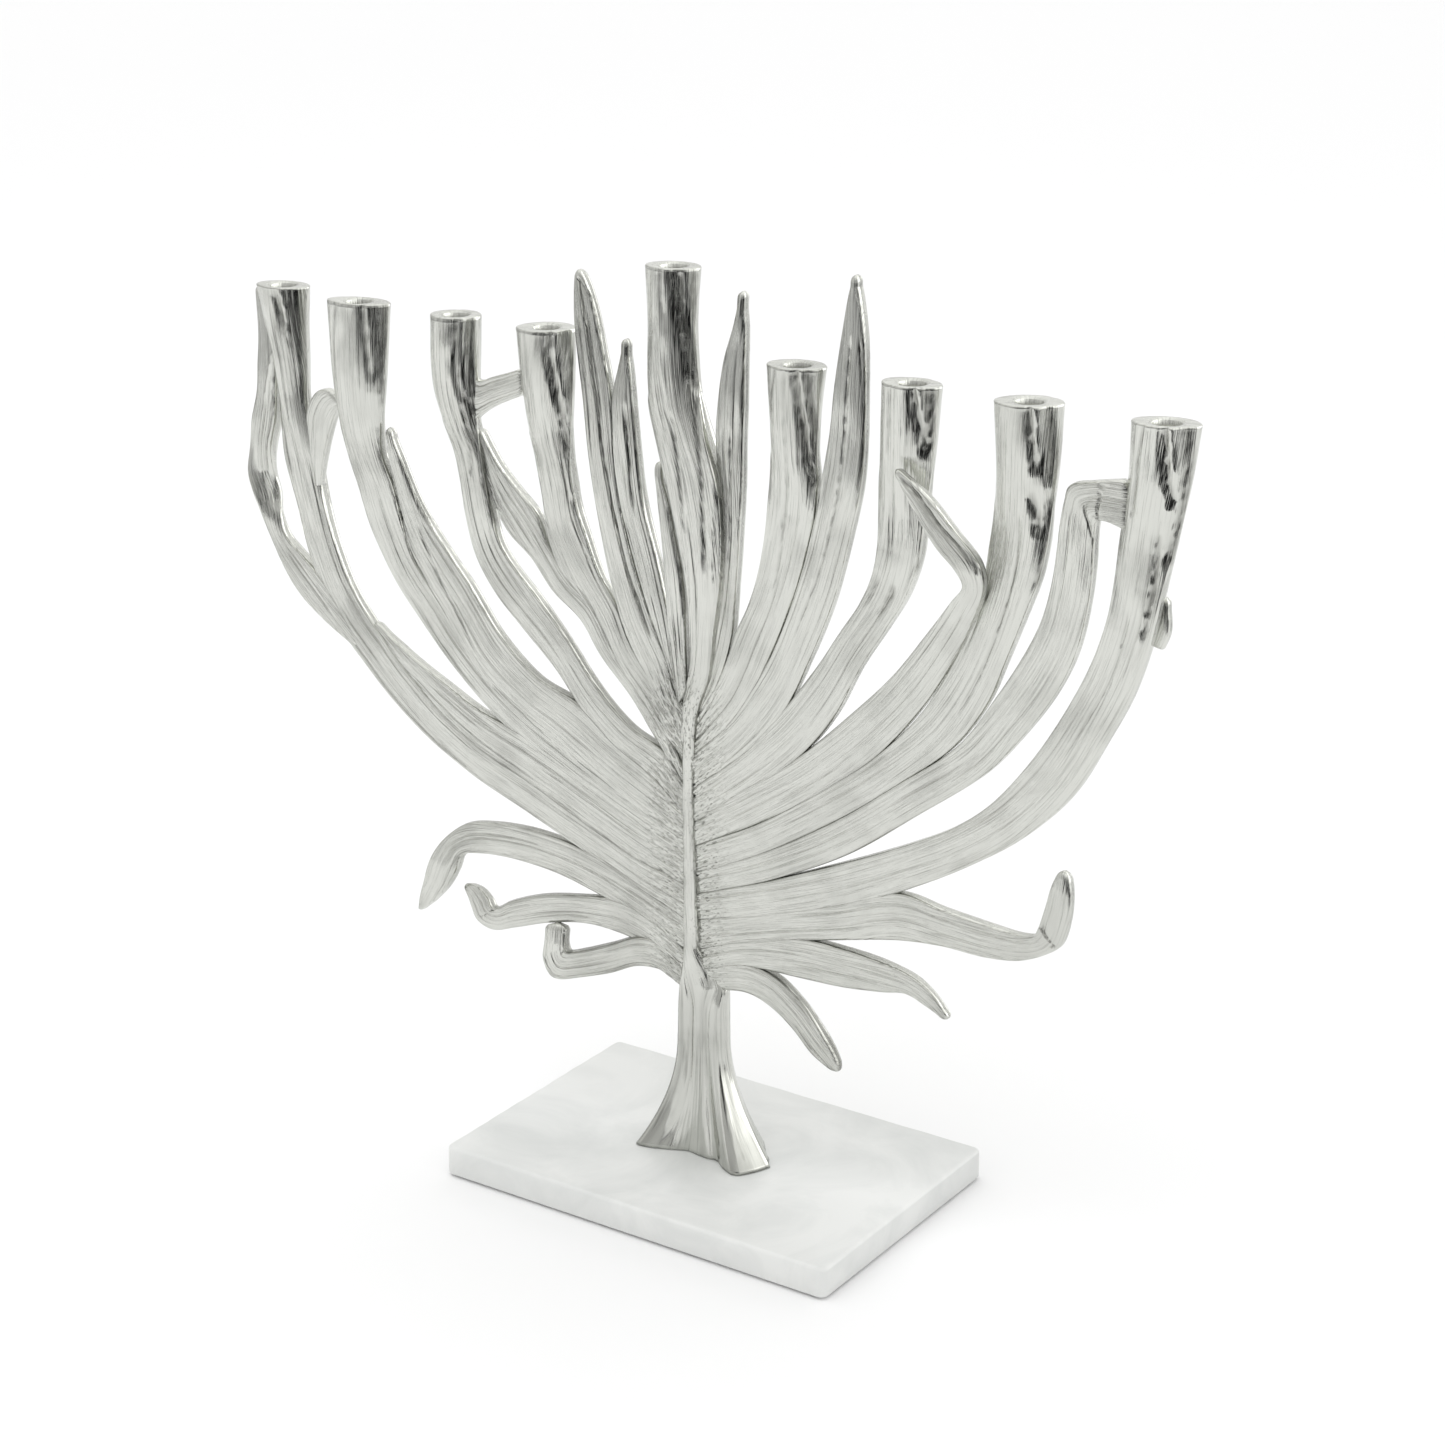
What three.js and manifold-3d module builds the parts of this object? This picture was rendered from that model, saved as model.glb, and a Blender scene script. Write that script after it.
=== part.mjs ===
// Tree-shaped menorah: nine candle branches and curling blades on a fluted trunk,
// screwed to a marble slab that rests on felt.  Millimetres, +Z up, front towards -Y,
// origin at the centre of the underside of the felt.
import * as THREE from 'three';
import { mergeVertices } from 'three/addons/utils/BufferGeometryUtils.js';
import Module from 'manifold-3d';

const wasm = await Module();
wasm.setup();

// ---------------------------------------------------------------- driving dimensions
const BASE_LENGTH = 178;
const BASE_DEPTH = 117.4;
const MARBLE_THICKNESS = 12.4;
const MARBLE_CORNER = 2.5;
const MARBLE_EASED_EDGE = 0.8;
const FELT_THICKNESS = 0.8;
const FELT_INSET = 2;
const BASE_TOP = FELT_THICKNESS + MARBLE_THICKNESS;

const CUP_TOP = 335.4;
const SHAMASH_TOP = 365;
const CANDLE_HOLE = 9.8;
const CANDLE_HOLE_DEPTH = 17;

const LEAF_THICKNESS = 5;
const JOINT_GAP = 0.3;
const OVERRUN = 1; // how far a cutting tool runs past the face it opens

const SCREW_X = [-9, 9];
const SCREW_SHANK = 4.4;
const MARBLE_BORE = 5.4;
const SCREW_HEAD = 8.4;
const SCREW_HEAD_HEIGHT = 2.6;
const SCREW_CHAMFER = 0.8;
const SCREW_END = 24;
const WASHER_OUTER = 11;
const WASHER_THICKNESS = 1.2;
const COUNTERBORE = 12;
const COUNTERBORE_TOP = 7;

// ---------------------------------------------------------------- materials
const nickel = new THREE.MeshStandardMaterial({ color: 0xcdc9c2, roughness: 0.32, metalness: 1 });
const marble = new THREE.MeshStandardMaterial({ color: 0xf2f1ef, roughness: 0.25, metalness: 0 });
const felt = new THREE.MeshStandardMaterial({ color: 0x2e2d30, roughness: 0.95, metalness: 0 });
const steel = new THREE.MeshStandardMaterial({ color: 0xa9a9ab, roughness: 0.4, metalness: 1 });

// ---------------------------------------------------------------- solids
const toSolid = (geometry) => {
  const bare = geometry.clone();
  bare.deleteAttribute('normal');
  bare.deleteAttribute('uv');
  const merged = mergeVertices(bare, 1e-4);
  const vertProperties = new Float32Array(merged.attributes.position.array);
  const triVerts = new Uint32Array(merged.index.array);
  return new wasm.Manifold(new wasm.Mesh({ numProp: 3, vertProperties, triVerts }));
};

const toGeometry = (solid) => {
  const mesh = solid.getMesh();
  const geometry = new THREE.BufferGeometry();
  geometry.setAttribute('position', new THREE.BufferAttribute(mesh.vertProperties, 3));
  geometry.setIndex(new THREE.BufferAttribute(mesh.triVerts, 1));
  geometry.computeVertexNormals();
  return geometry;
};

// The largest separate body of a cut solid: a cut can leave a loose crumb behind.
const largestBody = (solid) => {
  const bodies = solid.decompose();
  return bodies.reduce((best, body) => (body.volume() > best.volume() ? body : best));
};

const cylinder = (diameter, bottom, top, x = 0, y = 0, sides = 20) => {
  const geometry = new THREE.CylinderGeometry(diameter / 2, diameter / 2, top - bottom, sides);
  geometry.rotateX(Math.PI / 2);
  geometry.translate(x, y, (top + bottom) / 2);
  return toSolid(geometry);
};

const group = new THREE.Group();
const addMesh = (name, geometry, material) => {
  const mesh = new THREE.Mesh(geometry, material);
  mesh.name = name;
  group.add(mesh);
};

// A closed skin over a row of rings that all hold the same number of points.
const skin = (rings) => {
  const count = rings[0].length;
  const positions = rings.flat().flatMap((p) => [p.x, p.y, p.z]);
  const faces = [];
  for (let row = 0; row < rings.length - 1; row += 1) {
    for (let k = 0; k < count; k += 1) {
      const a = row * count + k;
      const b = row * count + ((k + 1) % count);
      faces.push(a, b, b + count, a, b + count, a + count);
    }
  }
  [0, rings.length - 1].forEach((row, last) => {
    const ring = rings[row];
    const centre = ring.reduce((sum, p) => sum.add(p), new THREE.Vector3()).divideScalar(count);
    const hub = positions.length / 3;
    positions.push(centre.x, centre.y, centre.z);
    for (let k = 0; k < count; k += 1) {
      const a = row * count + k;
      const b = row * count + ((k + 1) % count);
      faces.push(hub, last ? a : b, last ? b : a);
    }
  });
  const geometry = new THREE.BufferGeometry();
  geometry.setAttribute('position', new THREE.Float32BufferAttribute(positions, 3));
  geometry.setIndex(faces);
  return toSolid(geometry);
};

// ---------------------------------------------------------------- leaf sections
// Half-width and half-thickness of a section, seen along the leaf: a flat strip with
// eased corners, which turns into the pointed oval of a candle cup.
const STRIP = [[1, 0.6], [0.86, 0.97], [0.3, 1], [-0.3, 1], [-0.86, 0.97], [-1, 0.6]];
// A cup's oval leans: its front face is fullest to the left and its back face to the right.
const CUP_SLANT = 0.12;
const CUP_SPREAD = 1.04;
const OVAL = [[0.99, 0.16], [0.76, 0.68], [0.28, 0.97], [-0.28, 0.97], [-0.76, 0.68], [-0.99, 0.16]];
const bothFaces = (half) => [...half, ...half.map(([u, v]) => [-u, -v])].reverse();

// A station across a leaf: its left and right edge points in the leaf's plane, how far
// that plane stands back (y), the thickness there and how oval the section is (0 to 1).
const at = (leftX, leftZ, rightX, rightZ, y = 0, thick = LEAF_THICKNESS, oval = 0) => ({
  left: new THREE.Vector3(leftX, y, leftZ),
  right: new THREE.Vector3(rightX, y, rightZ),
  thick,
  oval,
});

// A station whose two edges stand at different depths, where a leaf folds over.
const fold = (leftX, leftY, leftZ, rightX, rightY, rightZ, thick = LEAF_THICKNESS) => ({
  left: new THREE.Vector3(leftX, leftY, leftZ),
  right: new THREE.Vector3(rightX, rightY, rightZ),
  thick,
  oval: 0,
});

// The flat top of a candle cup: centre, half-length, half-depth and turn in degrees.
const cup = (x, y, halfLength, halfDepth, turn, z = CUP_TOP) => {
  const angle = THREE.MathUtils.degToRad(turn);
  const reach = new THREE.Vector3(Math.cos(angle), Math.sin(angle), 0).multiplyScalar(halfLength);
  const centre = new THREE.Vector3(x, y, z);
  return {
    left: centre.clone().sub(reach),
    right: centre.clone().add(reach),
    thick: 2 * halfDepth,
    oval: 1,
    rim: centre,
  };
};

// Rings along a leaf.  grow makes it fatter all round, to cut clearance in a neighbour.
const leafSolid = (stations, grow = 0) => {
  const lefts = new THREE.CatmullRomCurve3(stations.map((s) => s.left));
  const rights = new THREE.CatmullRomCurve3(stations.map((s) => s.right));
  const steps = 2 * (stations.length - 1);
  const middle = (t) => lefts.getPoint(t).add(rights.getPoint(t)).multiplyScalar(0.5);
  const rings = [];
  for (let step = 0; step <= steps; step += 1) {
    const t = step / steps;
    const here = t * (stations.length - 1);
    const from = stations[Math.floor(here)];
    const to = stations[Math.ceil(here)];
    const share = here - Math.floor(here);
    const thick = THREE.MathUtils.lerp(from.thick, to.thick, share);
    const oval = THREE.MathUtils.lerp(from.oval, to.oval, share);
    const rim = step === steps && stations.at(-1).rim;
    const across = rights.getPoint(t).sub(lefts.getPoint(t));
    const halfWidth = across.length() / 2;
    across.normalize();
    const ahead = middle(Math.min(t + 0.01, 1)).sub(middle(Math.max(t - 0.01, 0)));
    const along = rim ? new THREE.Vector3(0, 0, 1) : ahead.normalize();
    const outward = across.clone().cross(along).normalize();
    const push = grow * ((step === steps ? 1 : 0) - (step === 0 ? 1 : 0));
    const centre = middle(t).addScaledVector(along, push);
    const strip = bothFaces(STRIP);
    const round = bothFaces(OVAL).map(([u, v]) => [(u - CUP_SLANT * v) / CUP_SPREAD, v]);
    rings.push(strip.map(([u, v], k) => {
      const wide = THREE.MathUtils.lerp(u, round[k][0], oval) * (halfWidth + grow);
      const deep = THREE.MathUtils.lerp(v, round[k][1], oval) * (thick / 2 + grow);
      return centre.clone().addScaledVector(across, wide).addScaledVector(outward, deep);
    }));
  }
  return skin(rings);
};

// Leaves are made in order: each one is trimmed to clear those already made.
const made = [];
const clearOf = (solid) => {
  const box = solid.boundingBox();
  const meets = (other) => [0, 1, 2].every((axis) => (
    other.min[axis] < box.max[axis] && box.min[axis] < other.max[axis]));
  const cutters = made.filter((piece) => meets(piece.boundingBox()));
  return cutters.reduce((rest, piece) => rest.subtract(piece), solid);
};

const addLeaf = (name, stations) => {
  const rim = stations.at(-1).rim;
  let solid = largestBody(clearOf(leafSolid(stations)));
  if (rim) {
    const hole = cylinder(CANDLE_HOLE, rim.z - CANDLE_HOLE_DEPTH, rim.z + OVERRUN, rim.x, rim.y);
    solid = solid.subtract(hole);
  }
  made.push(leafSolid(stations, JOINT_GAP));
  addMesh(name, toGeometry(solid), nickel);
};

// ---------------------------------------------------------------- marble slab
const roundedSlab = (length, depth, radius) => {
  const shape = new THREE.Shape();
  const x = length / 2;
  const y = depth / 2;
  shape.moveTo(-x + radius, -y);
  shape.absarc(x - radius, -y + radius, radius, -Math.PI / 2, 0);
  shape.absarc(x - radius, y - radius, radius, 0, Math.PI / 2);
  shape.absarc(-x + radius, y - radius, radius, Math.PI / 2, Math.PI);
  shape.absarc(-x + radius, -y + radius, radius, Math.PI, 1.5 * Math.PI);
  return shape;
};

const marbleBase = () => {
  const eased = MARBLE_EASED_EDGE;
  const outline = roundedSlab(BASE_LENGTH - 2 * eased, BASE_DEPTH - 2 * eased, MARBLE_CORNER - eased);
  const slab = new THREE.ExtrudeGeometry(outline, {
    depth: MARBLE_THICKNESS - 2 * eased,
    bevelThickness: eased,
    bevelSize: eased,
    bevelSegments: 2,
    curveSegments: 4,
  });
  slab.translate(0, 0, FELT_THICKNESS + eased);
  let solid = toSolid(slab);
  SCREW_X.forEach((x) => {
    const bore = cylinder(MARBLE_BORE, FELT_THICKNESS - OVERRUN, BASE_TOP + OVERRUN, x);
    const counterbore = cylinder(COUNTERBORE, FELT_THICKNESS - OVERRUN, COUNTERBORE_TOP, x);
    solid = solid.subtract(bore).subtract(counterbore);
  });
  return solid;
};
addMesh('marble_base', toGeometry(marbleBase()), marble);

// ---------------------------------------------------------------- felt
const feltPad = () => {
  const inset = 2 * FELT_INSET;
  const outline = roundedSlab(BASE_LENGTH - inset, BASE_DEPTH - inset, MARBLE_CORNER);
  return new THREE.ExtrudeGeometry(outline, {
    depth: FELT_THICKNESS - JOINT_GAP,
    bevelEnabled: false,
    curveSegments: 5,
  });
};
addMesh('felt_pad', feltPad(), felt);

// ---------------------------------------------------------------- screws and washers
const washerTop = COUNTERBORE_TOP - JOINT_GAP;
const headTop = washerTop - WASHER_THICKNESS - JOINT_GAP;

const screwProfile = [
  [0, headTop - SCREW_HEAD_HEIGHT],
  [SCREW_HEAD / 2 - SCREW_CHAMFER, headTop - SCREW_HEAD_HEIGHT],
  [SCREW_HEAD / 2, headTop - SCREW_HEAD_HEIGHT + SCREW_CHAMFER],
  [SCREW_HEAD / 2, headTop],
  [SCREW_SHANK / 2, headTop],
  [SCREW_SHANK / 2, SCREW_END - SCREW_CHAMFER],
  [SCREW_SHANK / 2 - SCREW_CHAMFER, SCREW_END],
  [0, SCREW_END],
].map(([radius, z]) => new THREE.Vector2(radius, z));

const washerProfile = [
  [SCREW_SHANK / 2 + JOINT_GAP, washerTop - WASHER_THICKNESS],
  [WASHER_OUTER / 2, washerTop - WASHER_THICKNESS],
  [WASHER_OUTER / 2, washerTop],
  [SCREW_SHANK / 2 + JOINT_GAP, washerTop],
  [SCREW_SHANK / 2 + JOINT_GAP, washerTop - WASHER_THICKNESS],
].map(([radius, z]) => new THREE.Vector2(radius, z));

const turned = (profile, x) => {
  const geometry = new THREE.LatheGeometry(profile, 12);
  geometry.rotateX(Math.PI / 2);
  geometry.translate(x, 0, 0);
  return geometry;
};

SCREW_X.forEach((x, index) => {
  const side = index ? 'right' : 'left';
  addMesh(`base_screw_${side}`, turned(screwProfile, x), steel);
  addMesh(`base_washer_${side}`, turned(washerProfile, x), steel);
});

// ---------------------------------------------------------------- trunk
// Outlines of the trunk, from its front left corner round to the right and back: where
// it stands on the marble, with four spread toes, and at its waist.
const FOOT = [[-27, -16], [-20, -15.5], [-13.5, -13], [-6, -9.8], [2.5, -11], [8.5, -10.3],
  [14.5, -14.5], [22, -16.2], [28.6, -5], [27.5, -1], [21, 7], [14, 14.5], [7, 11],
  [-2, 10.5], [-12, 12.5], [-20, 15.5], [-26, 15], [-24, 5], [-25, -6]];
const WAIST = [[-14, -4.6], [-10.5, -5.2], [-8, -4.2], [-5, -5.2], [-2, -5.2], [0, -4.2],
  [2.5, -5], [5.7, -4.9], [7.1, -2.5], [7.5, 0.3], [6.8, 2.5], [4.5, 4.6], [1.5, 4.6],
  [-2, 5.2], [-5, 4.6], [-9, 5.2], [-12.8, 4.6], [-14.5, 2.2], [-14.5, -1.5]];
const WAIST_HEIGHT = 60;
const LEFT_FLARE = 2.1;
const RIGHT_FLARE = 1.7;
const FLARE_STEPS = 7;
const TRUNK_CLEARANCE = 0.4;
// Above the waist the trunk narrows to the rib between the branches: height, left edge,
// right edge and half-depth.
const RIB = [[78, -13.6, 5.6, 4.8], [88, -12.9, 0.5, 4.6], [98, -12.4, -4.8, 4.4],
  [116, -12.4, -6.8, 4.2], [135, -12.2, -7.8, 4.2], [160, -12.8, -8.1, 4.2],
  [184, -12.8, -8.3, 4], [197, -12, -9, 3.4]];

const trunkRings = () => {
  const ring = (outline, z) => outline.map(([x, y]) => new THREE.Vector3(x, y, z));
  const rings = [];
  for (let step = 0; step <= FLARE_STEPS; step += 1) {
    const z = THREE.MathUtils.lerp(BASE_TOP + JOINT_GAP, WAIST_HEIGHT, step / FLARE_STEPS);
    rings.push(ring(WAIST.map(([x, y], k) => {
      const flare = (1 - step / FLARE_STEPS) ** (FOOT[k][0] < 0 ? LEFT_FLARE : RIGHT_FLARE);
      return [THREE.MathUtils.lerp(x, FOOT[k][0], flare), THREE.MathUtils.lerp(y, FOOT[k][1], flare)];
    }), z));
  }
  const waistLeft = Math.min(...WAIST.map(([x]) => x));
  const waistWidth = Math.max(...WAIST.map(([x]) => x)) - waistLeft;
  const waistDepth = Math.max(...WAIST.map(([, y]) => -y));
  RIB.forEach(([z, left, right, halfDepth]) => {
    const narrower = (right - left) / waistWidth;
    rings.push(ring(WAIST.map(([x, y]) => [
      left + (x - waistLeft) * narrower,
      (y / waistDepth) * halfDepth,
    ]), z));
  });
  return rings;
};

const trunk = () => {
  const bores = SCREW_X.map((x) => (
    cylinder(SCREW_SHANK + 2 * JOINT_GAP, BASE_TOP - OVERRUN, SCREW_END + JOINT_GAP, x)));
  return bores.reduce((rest, bore) => rest.subtract(bore), skin(trunkRings()));
};

const trunkClearance = () => {
  const wider = trunkRings().map((ring) => {
    const middle = ring.reduce((sum, p) => sum.add(p), new THREE.Vector3()).divideScalar(ring.length);
    return ring.map((p) => {
      const out = p.clone().sub(middle);
      return p.clone().addScaledVector(out.normalize(), TRUNK_CLEARANCE);
    });
  });
  wider.at(-1).forEach((p) => { p.z += JOINT_GAP; });
  return skin(wider);
};
addMesh('trunk', toGeometry(trunk()), nickel);
made.push(trunkClearance());

// ---------------------------------------------------------------- candle branches
// Named by their cup, one to nine from left to right; the fifth carries the shamash.
addLeaf('branch_5_shamash', [
  at(-11, 197.5, -5, 197.5, -1, 7),
  at(-8, 214, 0.5, 212, -1, 7.5),
  at(-7.5, 230, 3, 230, -1, 8),
  at(-9, 246, 5.5, 247, -1, 8),
  at(-12, 260, 6.5, 263, -1, 8.5),
  at(-15.5, 274, 6, 277, -1, 8.5),
  at(-19, 287, 4, 290, -1, 9, 0.1),
  at(-23, 301, 0, 302, -1, 10, 0.3),
  at(-27, 313, -3, 313, -1, 11, 0.6),
  at(-27.8, 323, -5.2, 323, -0.7, 12.2, 0.9),
  at(-27.6, 345, -6.8, 345, -0.5, 13.5, 1),
  cup(-16.9, -0.5, 10.9, 7.6, 8, SHAMASH_TOP),
]);

addLeaf('branch_1', [
  at(-11, 110, -11, 123),
  at(-33, 117, -33, 128.5),
  at(-60, 127, -59.5, 138.5),
  at(-86.5, 137, -86, 149.5),
  at(-116, 147.5, -112.5, 160),
  at(-143.5, 162, -136, 175),
  at(-166.5, 181, -157, 194),
  at(-185, 200.5, -173, 212),
  at(-196, 223, -182, 230),
  at(-202, 245, -187.5, 247.5, 0, 5.5),
  at(-207, 264.5, -191, 266.5, 0, 6.5, 0.1),
  at(-208.5, 278, -193.5, 279, 0, 8, 0.4),
  at(-210, 292, -195, 292, 0, 9.5, 0.7),
  at(-212, 306, -194.8, 306, 0, 11.5, 1),
  at(-215.5, 320, -194.6, 320, 0, 13, 1),
  cup(-206.1, 0.1, 11.9, 7.5, 6),
]);

addLeaf('branch_2', [
  at(-11, 134.5, -11, 143),
  at(-38.5, 146, -34.5, 151),
  at(-68.5, 158, -62.5, 164),
  at(-93, 169, -84, 175.5),
  at(-109.5, 180, -101.5, 187),
  at(-125.5, 193.5, -117, 201.5),
  at(-141.5, 210, -131.5, 220),
  at(-154, 226.5, -142, 234, -0.5, 5.5),
  at(-162, 243, -146, 247, -1.5, 6),
  at(-167, 262, -149.5, 263, -3, 6.5),
  at(-171, 275, -153.5, 275, -4, 7.5, 0.3),
  at(-174, 286, -153, 286, -5, 9, 0.6),
  at(-176, 302, -150, 302, -6, 11.5, 0.9),
  cup(-161.6, -6.4, 14.1, 7, 8),
]);

addLeaf('branch_3', [
  at(-11, 153, -11, 163),
  at(-27.5, 165, -21.5, 175.5),
  at(-45.5, 175, -38, 183),
  at(-60.5, 186.5, -54, 196.5),
  at(-72, 200, -69, 214.5),
  at(-87.5, 213, -82.5, 229),
  at(-101.5, 227, -92.5, 239, -0.5),
  at(-109.5, 240, -98, 247, -1, 5.5),
  at(-113.5, 255, -101, 258, -1.5, 6),
  at(-115.5, 272, -103.5, 272, -2.2, 6.8, 0.1),
  at(-117.5, 283, -104.5, 283, -3, 8, 0.3),
  at(-122.5, 293, -105.8, 293, -3.5, 10, 0.6),
  at(-126.5, 307, -105.5, 307, -4, 13, 1),
  cup(-115.6, -4, 10.2, 8.5, 10.5),
]);

addLeaf('branch_4', [
  at(-13, 176, -11, 183),
  at(-20.5, 183.5, -17.5, 190),
  at(-31, 194.5, -27, 203.5),
  at(-43.5, 208, -37, 216.5),
  at(-52, 222, -43.5, 231.5),
  at(-60, 232.5, -51, 242),
  at(-68.5, 240, -57, 256, 0, 5.5),
  at(-74.5, 252.5, -61, 266, 0, 6),
  at(-77, 271, -62.5, 275, -0.5, 6.8, 0.1),
  at(-79.5, 284, -63.3, 284, -1, 8, 0.4),
  at(-83, 296, -63, 296, -1.5, 10, 0.7),
  at(-85, 312, -62, 312, -2, 13.5, 1),
  cup(-73.9, -2.2, 11.7, 9.1, 22),
]);

addLeaf('branch_6', [
  at(-7, 190.5, -7.5, 178.5),
  at(4, 210, 12, 197.5),
  at(8.5, 221.5, 20.5, 211),
  at(11.5, 230.5, 28, 227),
  at(17, 242, 34.5, 242.5, 0, 5.5),
  at(21.5, 255.5, 39.5, 257, 0, 6),
  at(24, 268.5, 43, 270, 0, 6),
  at(25.5, 280, 45.5, 281, 0, 6.5, 0.1),
  at(26.3, 291.5, 46.5, 292, 0, 8, 0.4),
  at(26, 303, 46, 303, 0, 10, 0.7),
  at(25.6, 318, 46.5, 318, -0.4, 13, 1),
  cup(36.8, -0.7, 11.6, 8.5, 2.5),
]);

addLeaf('branch_7', [
  at(-7.5, 164, -7.5, 151),
  at(13, 181, 17, 169),
  at(31.5, 201.5, 40.5, 188.5),
  at(45.5, 221, 56, 208),
  at(57, 239, 66, 227),
  at(65.5, 252, 76.5, 243.5, 0, 5.5),
  at(70.3, 263, 84.5, 257, 0, 6),
  at(72.4, 275, 89.4, 271, 0, 6.5, 0.1),
  at(72.4, 288, 91.4, 286, 0, 8, 0.4),
  at(71.8, 300, 93, 299, 0, 10, 0.7),
  at(72.3, 314, 94.8, 314, -0.5, 13, 1),
  cup(84.8, -1.1, 11.8, 8, -2),
]);

addLeaf('branch_8', [
  at(-7, 140.5, -6.5, 130),
  at(21.5, 155.5, 25, 146),
  at(51, 176, 56.5, 166),
  at(74.5, 195, 84, 186.5),
  at(92.5, 215.5, 106, 205),
  at(104.5, 236.5, 119, 224),
  at(111.5, 252, 126, 241.5, 0, 5.5),
  at(115.5, 266.5, 132.5, 258.5, 0, 6),
  at(117.6, 280, 137.5, 272.5, 0, 7, 0.2),
  at(118.6, 290, 140.4, 286, 0, 8.8, 0.5),
  at(119, 301, 142, 300, -0.4, 11, 0.8),
  at(119.2, 314, 143.4, 314, -0.8, 14, 1),
  cup(131.3, -1.3, 12.5, 9.2, 15),
]);

addLeaf('branch_9', [
  at(-6, 120.5, -5.5, 111),
  at(30, 135, 31, 121.5),
  at(61, 149, 66, 134.5),
  at(90.5, 164, 94, 148.5),
  at(108, 174.5, 114, 160.5),
  at(122, 186.5, 134, 175),
  at(138, 207, 153.5, 195.5),
  at(150.5, 228, 166.5, 219),
  at(159, 246, 175.5, 238, 0, 5.5),
  at(164.8, 264, 181.5, 258.5, 0, 6.3),
  at(167, 280, 184.7, 275, 0, 7.5, 0.3),
  at(167.7, 293, 187.9, 289.5, 0, 9.3, 0.6),
  at(168.7, 304, 190.6, 302, -0.3, 11, 0.8),
  at(170, 316, 193.3, 316, -0.7, 13.5, 1),
  cup(183.1, -1, 12.5, 7.9, 6),
]);

// ---------------------------------------------------------------- blades on the left
addLeaf('blade_front', [
  at(-12.5, 199, -9.5, 204, -3, 4),
  at(-15, 215, -9.5, 226, -3, 4.5),
  at(-17.5, 232, -10, 237, -3, 4.5),
  at(-18.5, 247, -11.5, 251, -3, 4.5),
  at(-20, 261, -14.5, 264, -3, 4.5),
  at(-22, 276, -17.5, 276.5, -2.6, 4.5),
  at(-23, 285.5, -20.5, 285.5, -2.3, 4.5),
  at(-22.6, 291, -21.8, 291, -2, 3.5),
]);

addLeaf('blade_4_5_short', [
  at(-14, 197, -11, 193),
  at(-20.5, 215, -16, 209),
  at(-28, 232, -18.5, 228),
  at(-36, 255, -23.5, 250),
  at(-41, 273, -30, 272),
  at(-43.8, 294, -33, 294),
  at(-44.3, 311, -34.8, 311),
  at(-41, 325, -36, 324, 0, 4.5),
  at(-38.6, 335, -37.8, 335, 0, 4),
]);

addLeaf('blade_4_5_tall', [
  at(-13.5, 184, -11, 192),
  at(-20, 193, -16.5, 201),
  at(-27.5, 204, -21, 216),
  at(-37, 217.5, -28, 231),
  at(-45, 238, -34.5, 248),
  at(-51.5, 265, -40.5, 270),
  at(-55.5, 288, -43.5, 290),
  at(-57.8, 310, -44.6, 311),
  at(-60, 328, -48, 328),
  at(-61, 342, -51, 342),
  at(-61, 352, -54.5, 352, 0, 4.5),
  at(-60.4, 358.5, -58, 358.5, 0, 4),
]);

addLeaf('blade_3_4', [
  at(-11, 164, -11, 169),
  at(-24, 180, -21, 184.5),
  at(-37, 196.5, -34, 200.5),
  at(-51, 210, -47, 215),
  at(-60.5, 222.5, -55, 229),
  at(-73, 231.5, -65, 237),
  at(-83, 243, -75, 250),
  at(-95, 252.5, -80.5, 261.5),
  at(-100.5, 262, -89.5, 269.5),
  at(-103, 272, -97, 277.5, -0.8),
  at(-106, 284, -101.5, 284.5, -1.5),
  at(-109, 291.5, -105.3, 291.5, -2, 4.5),
]);

addLeaf('blade_2_3', [
  at(-11, 144, -11, 152),
  at(-30, 148.5, -27, 164.5),
  at(-51, 158, -46, 175),
  at(-73, 168, -61.5, 187),
  at(-93.5, 180, -82.5, 194.5),
  at(-110.5, 191.5, -99.5, 208),
  at(-124.5, 210, -114, 226.5),
  at(-135, 224, -123, 237, -0.4),
  at(-144, 239, -132, 248, -0.8),
  at(-148, 254, -138.5, 258, -1.5),
  at(-150.5, 271, -144.5, 273, -3),
  at(-150.3, 286, -149.3, 286, -4.5, 4),
]);

addLeaf('blade_1_2', [
  at(-11, 124, -11, 134),
  at(-33, 129, -33, 144),
  at(-59.5, 139, -59.5, 156),
  at(-88.5, 150.5, -87, 168),
  at(-113, 160.5, -112, 175.5),
  at(-131, 171.5, -128, 183),
  at(-147, 184, -143.5, 190.5),
  at(-158, 194.5, -155, 197, 0, 4.5),
  at(-165, 201.5, -164.3, 202.2, 0, 4),
]);

addLeaf('leaf_1_2', [
  at(-191.5, 255.5, -189, 256, -1, 4),
  at(-192.5, 266, -186.8, 266, -1.2),
  at(-193.3, 277, -184, 274.8, -1.5),
  at(-193, 286.5, -180.8, 282, -2.2),
  at(-186.5, 295.5, -177, 288.5, -3.2, 4.5),
  at(-179, 297.5, -174, 292.5, -3.8, 4),
]);

addLeaf('leaf_3_4', [
  at(-110, 315, -109.5, 292.5, -3),
  at(-105.8, 310.8, -104.8, 297.3, -3, 4.5),
  at(-98.1, 313.2, -98.5, 301.4, -3, 4.5),
  at(-90, 316, -90, 305.5, -2.7, 4.5),
  at(-84, 318.5, -84, 308, -2.5, 4.5),
]);

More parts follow.
